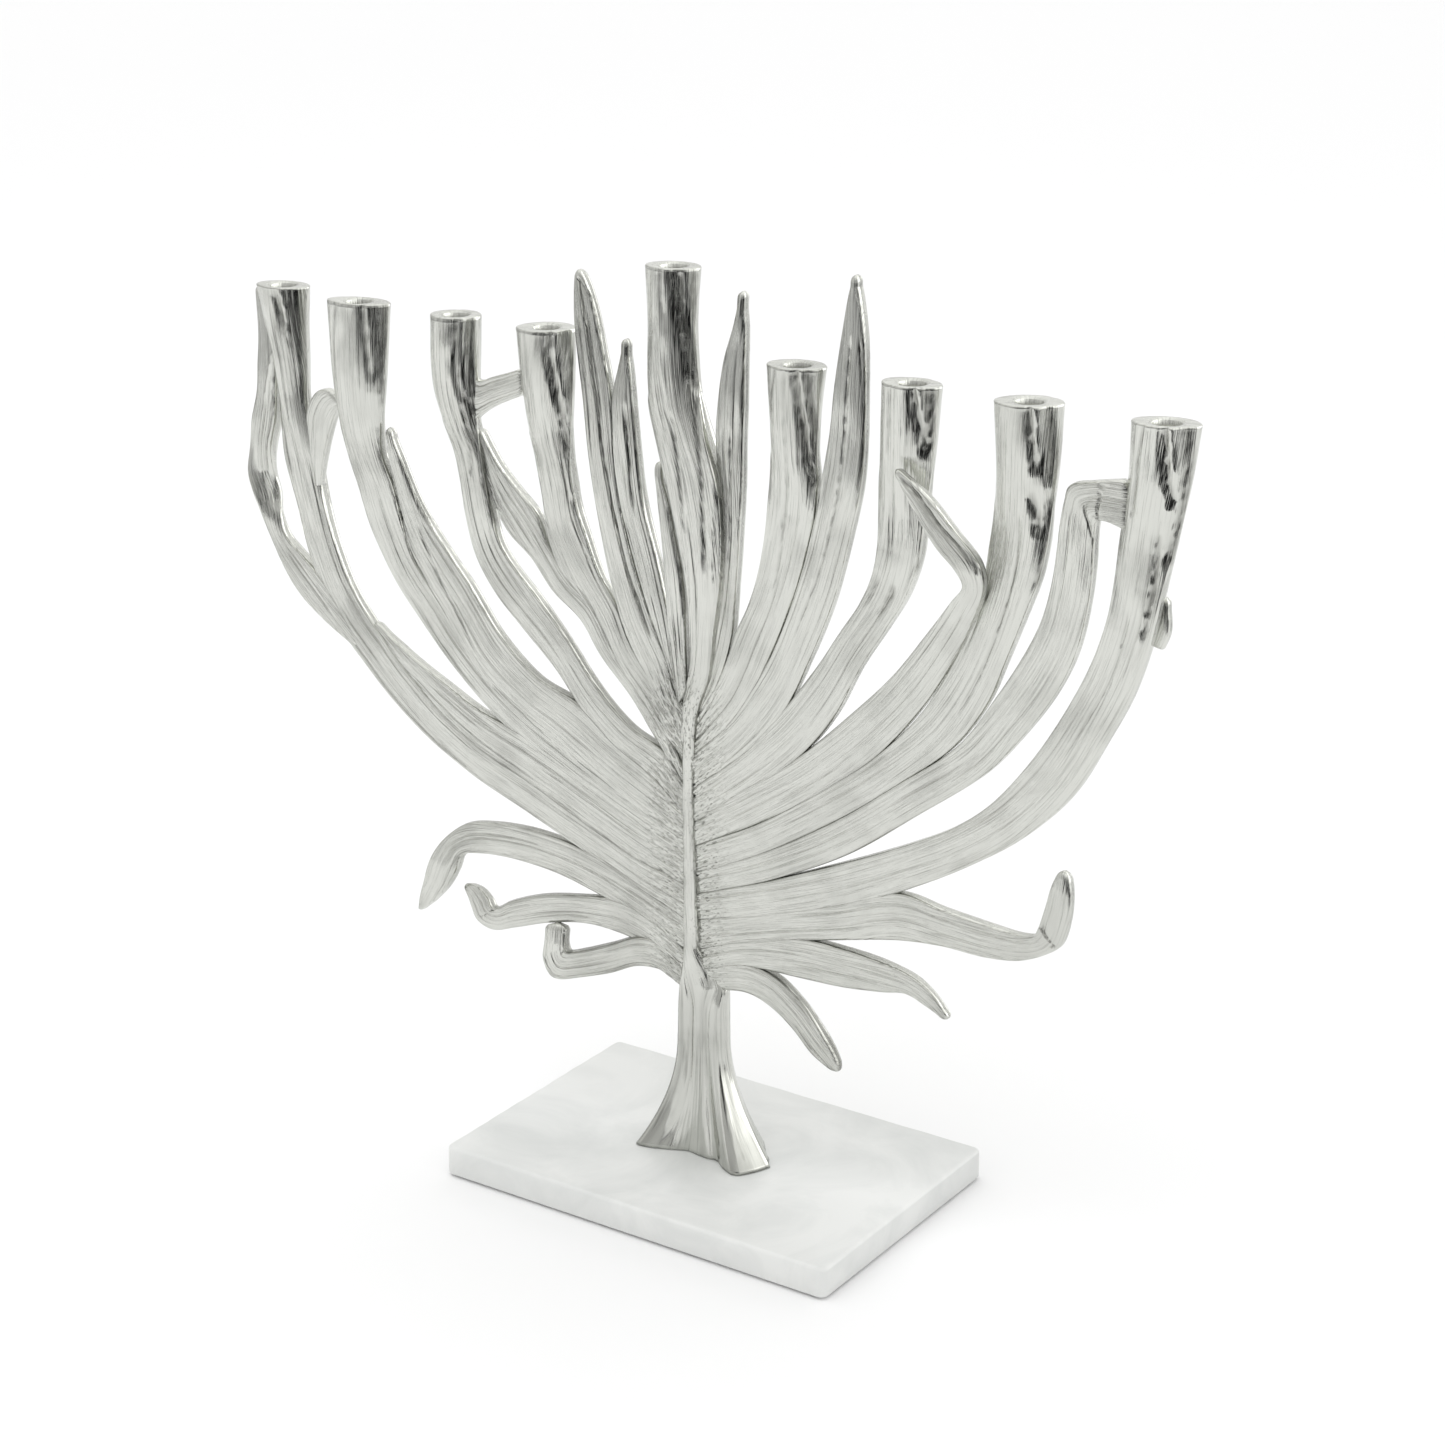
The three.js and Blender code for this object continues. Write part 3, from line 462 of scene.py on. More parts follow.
RIB = [(WAIST_HEIGHT, -14.5, 7.5, 5.2), (83, -14.2, 7.3, 4.9), (90, -13.4, 1, 4.5),
       (98, -12.6, -5.2, 4.1), (116, -12.8, -6.6, 3.8), (135, -12.8, -7.2, 3.6),
       (160, -13, -7.8, 3.5), (184, -13, -8.2, 3.4), (TRUNK_TOP, -12, -9, 2.6)]


def ripple(across, along, seed):
    """Smooth noise from -1 to 1 over a grid of unit cells."""
    cell_x = np.floor(across)
    cell_y = np.floor(along)
    x = across - cell_x
    y = along - cell_y
    x = x * x * (3 - 2 * x)
    y = y * y * (3 - 2 * y)

    def corner(right, up):
        mixed = np.sin((cell_x + right) * 127.1 + (cell_y + up) * 311.7 + seed * 74.7) * 43758.5453
        return 2 * (mixed - np.floor(mixed)) - 1

    low = corner(0, 0) * (1 - x) + corner(1, 0) * x
    high = corner(0, 1) * (1 - x) + corner(1, 1) * x
    return low * (1 - y) + high * y


def smooth_step(low, high, value):
    share = np.clip((value - low) / (high - low), 0, 1)
    return share * share * (3 - 2 * share)


def nickel_material():
    """Nickel plate over a combed casting: streaks follow the grain map along each leaf, and painted
    shade darkens the colour in the hollows of the comb marks, the creases, the joints by the rib, the
    trunk's front and the pits by the rib."""
    material, tree, shader = new_material("nickel_plate")
    nodes = tree.nodes
    link = tree.links.new

    def add(kind, **inputs):
        node = nodes.new(kind)
        for socket, value in inputs.items():
            node.inputs[socket.replace("_", " ")].default_value = value
        return node

    grain = nodes.new("ShaderNodeUVMap")
    grain.uv_map = "grain"
    place = nodes.new("ShaderNodeTexCoord")

    def streaks(across, along, detail):
        scale = add("ShaderNodeMapping", Scale=(across, along, 1))
        noise = add("ShaderNodeTexNoise", Scale=1.0, Detail=detail, Roughness=0.6)
        link(grain.outputs["UV"], scale.inputs["Vector"])
        link(scale.outputs["Vector"], noise.inputs["Vector"])
        return noise.outputs["Fac"]

    def ranged(value, low, high, to_low, to_high):
        node = nodes.new("ShaderNodeMapRange")
        for socket, number in zip(("From Min", "From Max", "To Min", "To Max"),
                                  (low, high, to_low, to_high)):
            node.inputs[socket].default_value = number
        link(value, node.inputs["Value"])
        return node.outputs["Result"]

    def maths(kind, first, second):
        node = nodes.new("ShaderNodeMath")
        node.operation = kind
        for index, value in enumerate((first, second)):
            if isinstance(value, (int, float)):
                node.inputs[index].default_value = value
            else:
                link(value, node.inputs[index])
        return node.outputs["Value"]

    fine = streaks(2.3, 0.03, 3.0)
    coarse = streaks(0.55, 0.012, 2.0)
    painted_shade = nodes.new("ShaderNodeAttribute")
    painted_shade.attribute_name = "painted_shade"
    pitted = nodes.new("ShaderNodeAttribute")
    pitted.attribute_name = "pitted"
    pits = streaks(1.0, 0.33, 2.0)
    patch = add("ShaderNodeTexNoise", Scale=38.0, Detail=3.0)
    link(place.outputs["Object"], patch.inputs["Vector"])

    pit_depth = maths("MULTIPLY", ranged(pits, 0.55, 0.68, 0, 1), pitted.outputs["Fac"])
    height = maths("ADD", maths("MULTIPLY", fine, 0.6), maths("MULTIPLY", coarse, 0.8))
    height = maths("SUBTRACT", height, maths("MULTIPLY", pit_depth, 0.8))
    bump = add("ShaderNodeBump", Strength=0.85, Distance=0.00042)
    link(height, bump.inputs["Height"])
    link(bump.outputs["Normal"], shader.inputs["Normal"])

    tone = nodes.new("ShaderNodeMix")
    tone.data_type = "RGBA"
    tone.inputs["A"].default_value = (0.66, 0.667, 0.628, 1)
    tone.inputs["B"].default_value = (0.12, 0.12, 0.105, 1)
    # Painted shade: the colour is darkened by the shade map and in the pits; the patch and fine streak
    # terms below are random tone of the plate.
    dark = maths("ADD", maths("MULTIPLY", painted_shade.outputs["Fac"], 0.5),
                 maths("MULTIPLY", pit_depth, 0.3))
    dark = maths("ADD", dark, ranged(patch.outputs["Fac"], 0.5, 0.7, 0, 0.16))
    dark = maths("ADD", dark, ranged(fine, 0.53, 0.68, 0, 0.36))
    link(maths("MINIMUM", dark, 1.0), tone.inputs["Factor"])
    link(tone.outputs["Result"], shader.inputs["Base Color"])

    gloss = ranged(patch.outputs["Fac"], 0.38, 0.62, 0.05, 0.17)
    gloss = maths("ADD", gloss, maths("MULTIPLY", painted_shade.outputs["Fac"], 0.1))
    link(gloss, shader.inputs["Roughness"])
    shader.inputs["Metallic"].default_value = 1
    return material


nickel_plate = nickel_material()


def skin_piece(name, rings, grain, painted_shade, pitted):
    """A metal piece over rings of points (mm).  grain is each point's place across and along the casting
    (mm); the shade map darkens the plate with painted shade, and pitted marks the pits, which get
    painted shade too."""
    rows, count = rings.shape[:2]
    ends = [rings[0].mean(axis=0), rings[-1].mean(axis=0)]
    points = np.concatenate([rings.reshape(-1, 3), ends]) * MM
    points = np.clip(points, np.array(cad_box[0]), np.array(cad_box[1]))
    faces = []
    for row in range(rows - 1):
        for k in range(count):
            a = row * count + k
            b = row * count + (k + 1) % count
            faces.append((a, b, b + count, a + count))
    for k in range(count):
        b = (k + 1) % count
        faces.append((rows * count, b, k))
        faces.append((rows * count + 1, (rows - 1) * count + k, (rows - 1) * count + b))
    piece = mesh_object(name + "_casting", [], [], nickel_plate)
    mesh = piece.data
    mesh.from_pydata([tuple(p) for p in points], [], faces)
    mesh.update()
    mesh.shade_smooth()

    def per_point(values, row_ends):
        flat = values.reshape(-1, *values.shape[2:])
        return np.concatenate([flat, row_ends])

    grain_points = per_point(grain, [grain[0].mean(axis=0), grain[-1].mean(axis=0)])
    corners = np.empty(len(mesh.loops), dtype=np.int32)
    mesh.loops.foreach_get("vertex_index", corners)
    layer = mesh.uv_layers.new(name="grain")
    layer.data.foreach_set("uv", grain_points[corners].astype(np.float32).ravel())
    # The painted shade map and the pitted patch's mask are stored on each point.
    for label, values in (("painted_shade", painted_shade), ("pitted", pitted)):
        attribute = mesh.attributes.new(label, "FLOAT", "POINT")
        flat = per_point(values, [values[0].mean(), values[-1].mean()])
        attribute.data.foreach_set("value", flat.astype(np.float32))
    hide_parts(name)
    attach(piece, "root")


def around(outline, per_side):
    """Points round a closed outline, on a smooth curve through its corners."""
    corners = np.array(outline, dtype=float)
    share = np.arange(per_side)[None, :, None] / per_side
    before, here, after, beyond = (np.roll(corners, shift, axis=0)[:, None, :]
                                   for shift in (1, 0, -1, -2))
    curve = 0.5 * (2 * here + (after - before) * share
                   + (2 * before - 5 * here + 4 * after - beyond) * share ** 2
                   + (3 * here - before - 3 * after + beyond) * share ** 3)
    return curve.reshape(-1, 2)


def make_trunk():
    foot = around(FOOT, POINTS_PER_SIDE)
    waist = around(WAIST, POINTS_PER_SIDE)
    bottom = BASE_TOP + FOOT_GAP
    heights = np.arange(bottom, TRUNK_TOP, RING_SPACING)
    table = np.array(RIB, dtype=float)
    left_end = waist[:, 0].min()
    width = np.ptp(waist[:, 0])
    depth = waist[:, 1].max()
    rings = []
    for z in heights:
        if z < WAIST_HEIGHT:
            power = np.where(foot[:, :1] < 0, LEFT_FLARE, RIGHT_FLARE)
            drop = (WAIST_HEIGHT - z) / (WAIST_HEIGHT - bottom)
            outline = waist + (foot - waist) * drop ** power
        else:
            left, right, half_depth = (np.interp(z, table[:, 0], table[:, c]) for c in (1, 2, 3))
            fluted = np.stack([left + (waist[:, 0] - left_end) * (right - left) / width,
                               waist[:, 1] / depth * half_depth], axis=1)
            turn = np.arctan2(waist[:, 1], waist[:, 0] - left_end - width / 2)
            round_x = np.sign(np.cos(turn)) * np.abs(np.cos(turn)) ** 0.8
            round_y = np.sign(np.sin(turn)) * np.abs(np.sin(turn)) ** 0.7
            smooth = np.stack([(left + right) / 2 + round_x * (right - left + 1) / 2,
                               round_y * half_depth], axis=1)
            outline = fluted + (smooth - fluted) * smooth_step(72, 92, z)
            under_leaf = smooth_step(-6, 0, outline[:, 0]) * smooth_step(74, 92, z)
            outline[:, 1] *= 1 - 0.5 * under_leaf
        rings.append(np.column_stack([outline, np.full(len(outline), z)]))
    rings = np.array(rings)
    girth = np.linalg.norm(np.diff(rings, axis=1, append=rings[:, :1]), axis=2)
    across = np.repeat(np.cumsum(girth[len(girth) // 2])[None, :], len(heights), axis=0)
    along = np.repeat(heights[:, None], rings.shape[1], axis=1)
    middle = rings.mean(axis=1, keepdims=True)
    outward = rings - middle
    outward[:, :, 2] = 0
    outward /= np.linalg.norm(outward, axis=2, keepdims=True) + 1e-6
    turn = np.linspace(0, len(FOOT) * 2.0, rings.shape[1], endpoint=False)[None, :]
    low = 1 - smooth_step(70, 95, along)
    flutes = ripple(turn + 0 * along, along / 60, 3) * 0.35 + ripple(turn * 2.2, along / 40, 4) * 0.2
    flutes = flutes * low
    lumps = ripple(across / 1.6, along / 6, 5) * 0.16 * smooth_step(80, 110, along)
    combed = ripple(across / 0.7, along / 30, 6) * 0.09 * low
    # Painted shade: darker in the hollows of the flutes and comb marks, and a painted darker reflection
    # over the trunk's front face low down.
    painted_shade = np.clip(-(flutes + combed) * 1.4, 0, 0.6)
    painted_shade = painted_shade + 0.3 * low * smooth_step(0.5, 2, -rings[:, :, 1])
    rings = rings + outward * (flutes + combed + lumps - SKIN_DEPTH)[:, :, None]
    pitted = 0.25 * smooth_step(75, 110, along)
    skin_piece("trunk", rings, np.stack([across, along], axis=2), painted_shade, pitted)


make_trunk()


# ------------------------------------------------------------------ candle branches
# Nine strips of cast metal that leave the rib side by side, curve upwards and swell into
# pointed oval cups, each sawn off level and bored for a thin candle.
CUP_TOP = 335.4
SHAMASH_TOP = 365
LEAF_THICKNESS = 5
CANDLE_HOLE = 9.8
CANDLE_HOLE_DEPTH = 16.5
FRONT_POINTS = 49
BACK_POINTS = 23
EDGE_POINTS = 6
CUP_SLANT = 0.12
CUP_SPREAD = 1.04
CUP_POINT = 0.16
EDGE_ROUNDING = 1.25
LEAF_RING_SPACING = 1.1
ROOT_LAP = 0.75
FREE_LAP = 0.15
PITTED_REACH = 24
RIB_MIDDLE = -10.5
TIP_ROUNDING = 2.6
TIP_HALF_WIDTH = 1.7


def at(left_x, left_z, right_x, right_z, y=0, thick=LEAF_THICKNESS, oval=0):
    return (left_x, y, left_z, right_x, y, right_z, thick, oval)


def fold(left_x, left_y, left_z, right_x, right_y, right_z, thick=LEAF_THICKNESS):
    return (left_x, left_y, left_z, right_x, right_y, right_z, thick, 0)


def cup(x, y, half_length, half_depth, turn, z=CUP_TOP):
    reach_x = half_length * math.cos(math.radians(turn))
    reach_y = half_length * math.sin(math.radians(turn))
    return (x - reach_x, y - reach_y, z, x + reach_x, y + reach_y, z, 2 * half_depth, 1)


def curve_through(points, places):
    """Centripetal curve through points, at places counted in stations."""
    ends = [2 * points[0] - points[1], 2 * points[-1] - points[-2]]
    padded = np.concatenate([[ends[0]], points, [ends[1]]])
    index = np.minimum(places.astype(int), len(points) - 2)
    share = (places - index)[:, None]
    p0, p1, p2, p3 = (padded[index + k] for k in range(4))
    step0, step1, step2 = (np.sqrt(np.linalg.norm(b - a, axis=1))[:, None]
                           for a, b in ((p0, p1), (p1, p2), (p2, p3)))
    leave = ((p1 - p0) / step0 - (p2 - p0) / (step0 + step1) + (p2 - p1) / step1) * step1
    arrive = ((p2 - p1) / step1 - (p3 - p1) / (step1 + step2) + (p3 - p2) / step2) * step1
    return (p1 + leave * share + (3 * (p2 - p1) - 2 * leave - arrive) * share ** 2
            + (2 * (p1 - p2) + leave + arrive) * share ** 3)


def section_outline(half_width, half_thick, oval):
    """Rings of (across, outward) pairs, front face first from left to right: a strip with
    rounded edges where oval is 0, a pointed oval where it is 1."""
    rounding = np.minimum(EDGE_ROUNDING, 0.6 * half_width)[:, None]
    flat = half_width[:, None] - rounding
    thick = half_thick[:, None]
    front = np.linspace(-1, 1, FRONT_POINTS)[None, :]
    back = np.linspace(1, -1, BACK_POINTS)[None, :]
    angle = np.linspace(0.5, -0.5, EDGE_POINTS + 2)[None, 1:-1] * math.pi
    bulge = np.cos(angle) ** 0.6 * rounding + flat
    sink = np.sign(np.sin(angle)) * np.abs(np.sin(angle)) ** 0.6 * thick
    crown = 0.9 + 0.1 * (1 - front ** 2)
    strip_u = np.concatenate([front * flat, bulge, back * flat, -bulge], axis=1)
    back_crown = 0.9 + 0.1 * (1 - back ** 2)
    strip_v = np.concatenate([crown * thick, sink, -back_crown * thick, -sink], axis=1)
    point = CUP_POINT
    turn = np.concatenate([np.linspace(math.pi - point, point, FRONT_POINTS),
                           np.linspace(point, -point, EDGE_POINTS + 2)[1:-1],
                           np.linspace(-point, point - math.pi, BACK_POINTS),
                           np.linspace(point - math.pi, -point - math.pi, EDGE_POINTS + 2)[1:-1]])
    oval_u = np.sign(np.cos(turn)) * np.abs(np.cos(turn)) ** 1.02 * half_width[:, None]
    oval_v = np.sign(np.sin(turn)) * np.abs(np.sin(turn)) ** 1.15 * half_thick[:, None]
    oval_u = (oval_u - CUP_SLANT * half_width[:, None] * oval_v / half_thick[:, None]) / CUP_SPREAD
    mix = smooth_step(0, 1, oval)[:, None]
    return strip_u * (1 - mix) + oval_u * mix, strip_v * (1 - mix) + oval_v * mix


def worked_surface(seed, u, half_width, along, places, from_rib, height, is_cup):
    """Relief (mm) that the maker's comb and hammer left: long ridges, a few deeper veins
    and, next to the rib, a patch of close dimples drawn out along the leaf."""
    side = np.where(np.arange(u.shape[1]) < FRONT_POINTS, 0, 50)[None, :]
    softer = 1 - 0.45 * smooth_step(190, 240, height)
    relief = ripple(u / 2.3 + side, along / 60, seed) * 0.17 * softer
    relief += ripple(u / 0.95 + side, along / 32, seed + 0.3) * 0.06 * softer
    relief += ripple(u / 6 + side, along / 16, seed + 0.5) * 0.26
    for vein in range(3):
        lie = -0.58 + 0.5 * vein + 0.2 * math.sin(seed * 2.1 + vein * 1.7)
        wander = lie + 0.07 * ripple(0 * along, along / 45, seed + vein * 7)
        strength = smooth_step(-0.3, 0.5, ripple(0 * along, along / 30, seed + vein * 11))
        wide_enough = smooth_step(3, 7, half_width)
        relief -= 0.4 * np.exp(-((u - wander * half_width) / 0.32) ** 2) * strength * wide_enough
    if is_cup:
        upper = smooth_step(places.max() - 4.5, places.max() - 2, places)
        relief += ripple(u / 1.5 + side, along / 26, seed + 0.9) * 0.2 * upper
        relief += ripple(u / 0.62 + side, along / 9, seed + 0.95) * 0.14 * upper
    low_down = 1 - smooth_step(188, 222, height)
    rough = (1 - smooth_step(7, PITTED_REACH, from_rib)) * low_down
    dimples = ripple(u / 1.15, along / 4.4, seed + 0.7) * 0.46
    dimples += ripple(u / 0.85, along / 2.2, seed + 0.8) * 0.22
    # Painted shade: darker where the relief sinks and in the dimples by the rib.
    painted_shade = np.clip(-relief * 1.05 - 0.12 - 0.35 * dimples * rough, 0, 1)
    return relief + dimples * rough, painted_shade, rough


leaf_count = 0


def make_leaf(name, stations, creases=()):
    """A leaf or branch over its stations.  Each crease is (depth, half width, path): path
    lists (place counted in stations, place across from -1 to 1), and a ridge has a
    negative depth."""
    global leaf_count
    leaf_count += 1
    seed = leaf_count
    table = np.array(stations, dtype=float)
    is_cup = table[-1, 7] == 1
    middles = (table[:, :3] + table[:, 3:6]) / 2
    length = np.linalg.norm(np.diff(middles, axis=0), axis=1).sum()
    places = np.linspace(0, len(table) - 1, max(int(length / LEAF_RING_SPACING), 14))
    left = curve_through(table[:, :3], places)
    right = curve_through(table[:, 3:6], places)
    centre = (left + right) / 2
    thick = np.interp(places, np.arange(len(table)), table[:, 6])
    oval = np.interp(places, np.arange(len(table)), table[:, 7])
    across = right - left
    from_rib = np.abs(centre[:, 0] - RIB_MIDDLE)
    near_rib = (1 - smooth_step(60, 125, from_rib)) * (1 - smooth_step(200, 225, centre[:, 2]))
    half_width = np.linalg.norm(across, axis=1) / 2 + FREE_LAP + (ROOT_LAP - FREE_LAP) * near_rib
    across /= np.linalg.norm(across, axis=1, keepdims=True)
    ahead = np.gradient(centre, axis=0)
    ahead /= np.linalg.norm(ahead, axis=1, keepdims=True)
    step = np.linalg.norm(np.diff(centre, axis=0, prepend=centre[:1]), axis=1)
    travelled = np.cumsum(step)
    if is_cup:
        level = smooth_step(len(table) - 2, len(table) - 1, places)[:, None]
        ahead = ahead * (1 - level) + np.array([0, 0, 1]) * level
        ahead /= np.linalg.norm(ahead, axis=1, keepdims=True)
    else:
        half_width = np.maximum(half_width, TIP_HALF_WIDTH)
        to_tip = np.clip((travelled[-1] - travelled) / TIP_ROUNDING, 0, 1)
        rounded = np.sqrt(np.clip(1 - (1 - to_tip) ** 2, 0.02, 1))
        half_width = half_width * rounded
        thick = thick * (0.25 + 0.75 * rounded)
    outward = np.cross(across, ahead)
    outward /= np.linalg.norm(outward, axis=1, keepdims=True)

    u, v = section_outline(half_width, thick / 2, oval)
    along = np.repeat(travelled[:, None], u.shape[1], axis=1)
    wide = half_width[:, None]
    facing = np.sign(v) * np.clip(np.abs(v) / (thick[:, None] / 2), 0, 1)
    facing *= np.clip((wide + 0.2) / 3, 0, 1)
    relief, painted_shade, rough = worked_surface(seed, u, wide, along, places[:, None],
                                           from_rib[:, None], centre[:, 2:3], is_cup)
    front = v > 0
    for depth, reach, path in creases:
        spots = np.array(sorted(path))
        lie = np.interp(places, spots[:, 0], spots[:, 1])[:, None] * wide
        fade = (smooth_step(spots[0, 0] - 0.35, spots[0, 0] + 0.1, places)
                * (1 - smooth_step(spots[-1, 0] - 0.1, spots[-1, 0] + 0.35, places)))[:, None]
        ragged = 1 + 0.35 * ripple(u / 0.8, along / 2.5, seed + depth)
        cut = np.exp(-((u - lie) / reach) ** 2) * fade * front
        relief = relief - depth * cut * ragged
        # Painted shade in the cut creases.
        if depth > 0:
            painted_shade = np.maximum(painted_shade, np.clip(1.3 * cut * ragged - 0.3, 0, 1) * min(depth, 1))
    # Painted shade along the leaf edges near the rib, in the seams where neighbouring leaves meet.
    joint = np.clip((np.abs(u) - wide + 0.75) / 0.75, 0, 1) * near_rib[:, None]
    painted_shade = np.maximum(painted_shade, joint)
    v = v + facing * relief

    points = (centre[:, None, :] + across[:, None, :] * u[:, :, None]
              + outward[:, None, :] * v[:, :, None])
    grain = np.stack([u + np.where(front, 0, 50), along], axis=2)
    rough = rough + 0 * u
    if is_cup:
        points, grain, painted_shade, rough = add_cup(stations[-1], points, grain, painted_shade, rough)
    skin_piece(name, points, grain, painted_shade, rough)


def add_cup(top, points, grain, painted_shade, rough):
    """Levels the sawn top, eases its rim and bores the candle hole."""
    centre = (np.array(top[:3]) + np.array(top[3:6])) / 2
    rim = points[-1].copy()
    rim[:, 2] = centre[2]
    spoke = rim - centre
    bearing = np.arctan2(spoke[:, 1], spoke[:, 0])
    radius = CANDLE_HOLE / 2

    def circle(size, drop):
        return np.stack([centre[0] + size * np.cos(bearing), centre[1] + size * np.sin(bearing),
                         np.full(len(bearing), centre[2] - drop)], axis=1)

    points[-1] = rim
    points[-1, :, 2] = centre[2] - 0.5
    eased = centre + spoke * 0.975
    eased[:, 2] = centre[2] - 0.12
    inner = centre + spoke * 0.94
    extra = [eased, inner, circle(radius + 1.3, 0), circle(radius + 0.9, 0.25),
             circle(radius + 0.35, 0.3), circle(radius, 0.7), circle(radius, 5),
             circle(radius, CANDLE_HOLE_DEPTH), circle(radius * 0.2, CANDLE_HOLE_DEPTH + 0.4)]
    rows = len(extra)
    points = np.concatenate([points, extra])
    last = grain[-1:].repeat(rows, axis=0)
    last[:, :, 1] += np.arange(1, rows + 1)[:, None] * 2.0
    grain = np.concatenate([grain, last])
    calm = np.zeros((rows, points.shape[1]))
    return points, grain, np.concatenate([painted_shade, calm]), np.concatenate([rough, calm])


make_leaf("branch_5_shamash", [
    at(-12.2, 172, -8, 172, 0, 4.5),
    at(-12.2, 186, -7, 186, -0.6, 6.5),
    at(-11, 197.5, -5, 197.5, -1, 7),
    at(-8, 214, 0.5, 212, -1, 7.5),
    at(-7.5, 230, 3, 230, -1, 8),
    at(-9, 246, 5.5, 247, -1, 8),
    at(-12, 260, 6.5, 263, -1, 8.5),
    at(-15.5, 274, 6, 277, -1, 8.5),
    at(-19, 287, 4, 290, -1, 9, 0.1),
    at(-23, 301, 0, 302, -1, 10, 0.3),
    at(-27, 313, -3, 313, -1, 11, 0.6),
    at(-27.8, 323, -5.2, 323, -0.7, 12.2, 0.9),
    at(-27.6, 345, -6.8, 345, -0.5, 13.5, 1),
    cup(-16.9, -0.5, 10.9, 7.6, 8, SHAMASH_TOP),
], creases=[
    (0.6, 1.0, [(13, -0.15), (12.1, 0)]),
    (1.3, 2.0, [(13, 0.4), (12.3, 0.6), (11.6, 0.85), (10.9, 0.9)]),
    (-0.6, 1.0, [(13, 0.75), (12.3, 0.9)]),
    (0.9, 1.0, [(12.9, 0.85), (12.1, 0.95)]),
    (0.6, 0.9, [(10.3, 0.85), (8.8, 0.7), (7.2, 0.35), (5.7, 0.2)]),
    (0.5, 0.9, [(9.6, 0), (7.9, -0.35), (6.7, -0.55)]),
    (-0.5, 1.2, [(9.4, 1), (7.9, 0.9), (6.2, 0.65), (5, 0.55)]),
])
make_leaf("branch_1", [
    at(-11, 110, -11, 123),
    at(-33, 117, -33, 128.5),
    at(-60, 127, -59.5, 138.5),
    at(-86.5, 137, -86, 149.5),
    at(-116, 147.5, -112.5, 160),
    at(-143.5, 162, -136, 175),
    at(-166.5, 181, -157, 194),
    at(-185, 200.5, -173, 212),
    at(-196, 223, -182, 230),
    at(-202, 245, -187.5, 247.5, 0, 5.5),
    at(-207, 264.5, -191, 266.5, 0, 6.5, 0.1),
    at(-208.5, 278, -193.5, 279, 0, 8, 0.4),
    at(-210, 292, -195, 292, 0, 9.5, 0.7),
    at(-212, 306, -194.8, 306, 0, 11.5, 1),
    at(-215.5, 320, -194.6, 320, 0, 13, 1),
    cup(-206.1, 0.1, 11.9, 7.5, 6),
], creases=[
    (0.9, 1.3, [(14.8, 0.05), (14.5, 0.15), (14.1, 0.3)]),
    (-0.5, 0.8, [(14.9, 0.3), (14.4, 0.45), (13.9, 0.45)]),
    (0.7, 0.8, [(15, 0.95), (13.9, 0.95), (12.4, 0.95)]),
    (0.6, 0.7, [(12.1, 0.95), (11.3, 1), (10.2, 1), (9.4, 0.9)]),
])
make_leaf("branch_2", [
    at(-11, 134.5, -11, 143),
    at(-38.5, 146, -34.5, 151),
    at(-68.5, 158, -62.5, 164),
    at(-93, 169, -84, 175.5),
    at(-109.5, 180, -101.5, 187),
    at(-125.5, 193.5, -117, 201.5),
    at(-141.5, 210, -131.5, 220),
    at(-154, 226.5, -142, 234, -0.5, 5.5),
    at(-162, 243, -146, 247, -1.5, 6),
    at(-167, 262, -149.5, 263, -3, 6.5),
    at(-171, 275, -153.5, 275, -4, 7.5, 0.3),
    at(-174, 286, -153, 286, -5, 9, 0.6),
    at(-176, 302, -150, 302, -6, 11.5, 0.9),
    cup(-161.6, -6.4, 14.1, 7, 8),
], creases=[
    (0.5, 0.9, [(13, -0.5), (12.7, -0.6), (12.3, -0.7)]),
    (0.8, 1.0, [(13, 0.35), (12.6, 0.45), (12.2, 0.6)]),
    (-0.5, 0.8, [(13, 0.5), (12.5, 0.65)]),
    (0.9, 1.4, [(13, 0.9), (12.6, 0.9), (12.3, 0.85), (11.7, 0.95)]),
    (0.6, 0.9, [(10.9, 1), (9.4, 1), (8.6, 1)]),
])
make_leaf("branch_3", [
    at(-11, 153, -11, 163),
    at(-27.5, 165, -21.5, 175.5),
    at(-45.5, 175, -38, 183),
    at(-60.5, 186.5, -54, 196.5),
    at(-72, 200, -69, 214.5),
    at(-87.5, 213, -82.5, 229),
    at(-101.5, 227, -92.5, 239, -0.5),
    at(-109.5, 240, -98, 247, -1, 5.5),
    at(-113.5, 255, -101, 258, -1.5, 6),
    at(-115.5, 272, -103.5, 272, -2.2, 6.8, 0.1),
    at(-117.5, 283, -104.5, 283, -3, 8, 0.3),
    at(-122.5, 293, -105.8, 293, -3.5, 10, 0.6),
    at(-126.5, 307, -105.5, 307, -4, 13, 1),
    cup(-115.6, -4, 10.2, 8.5, 10.5),
], creases=[
    (0.9, 1.2, [(13, 0.35), (12.6, 0.35)]),
    (-0.4, 1.2, [(13, 0.6), (12.6, 0.55)]),
    (1.3, 1.2, [(13, 0.8), (12.6, 0.75), (12.2, 0.8), (11.5, 0.85)]),
    (0.5, 1.8, [(12.4, 0.3), (11.8, 0.6), (10.5, 0.6), (9.3, 0.15)]),
    (0.9, 1.0, [(10.7, 0.9), (9.6, 1), (8.5, 1), (7.8, 1)]),
])
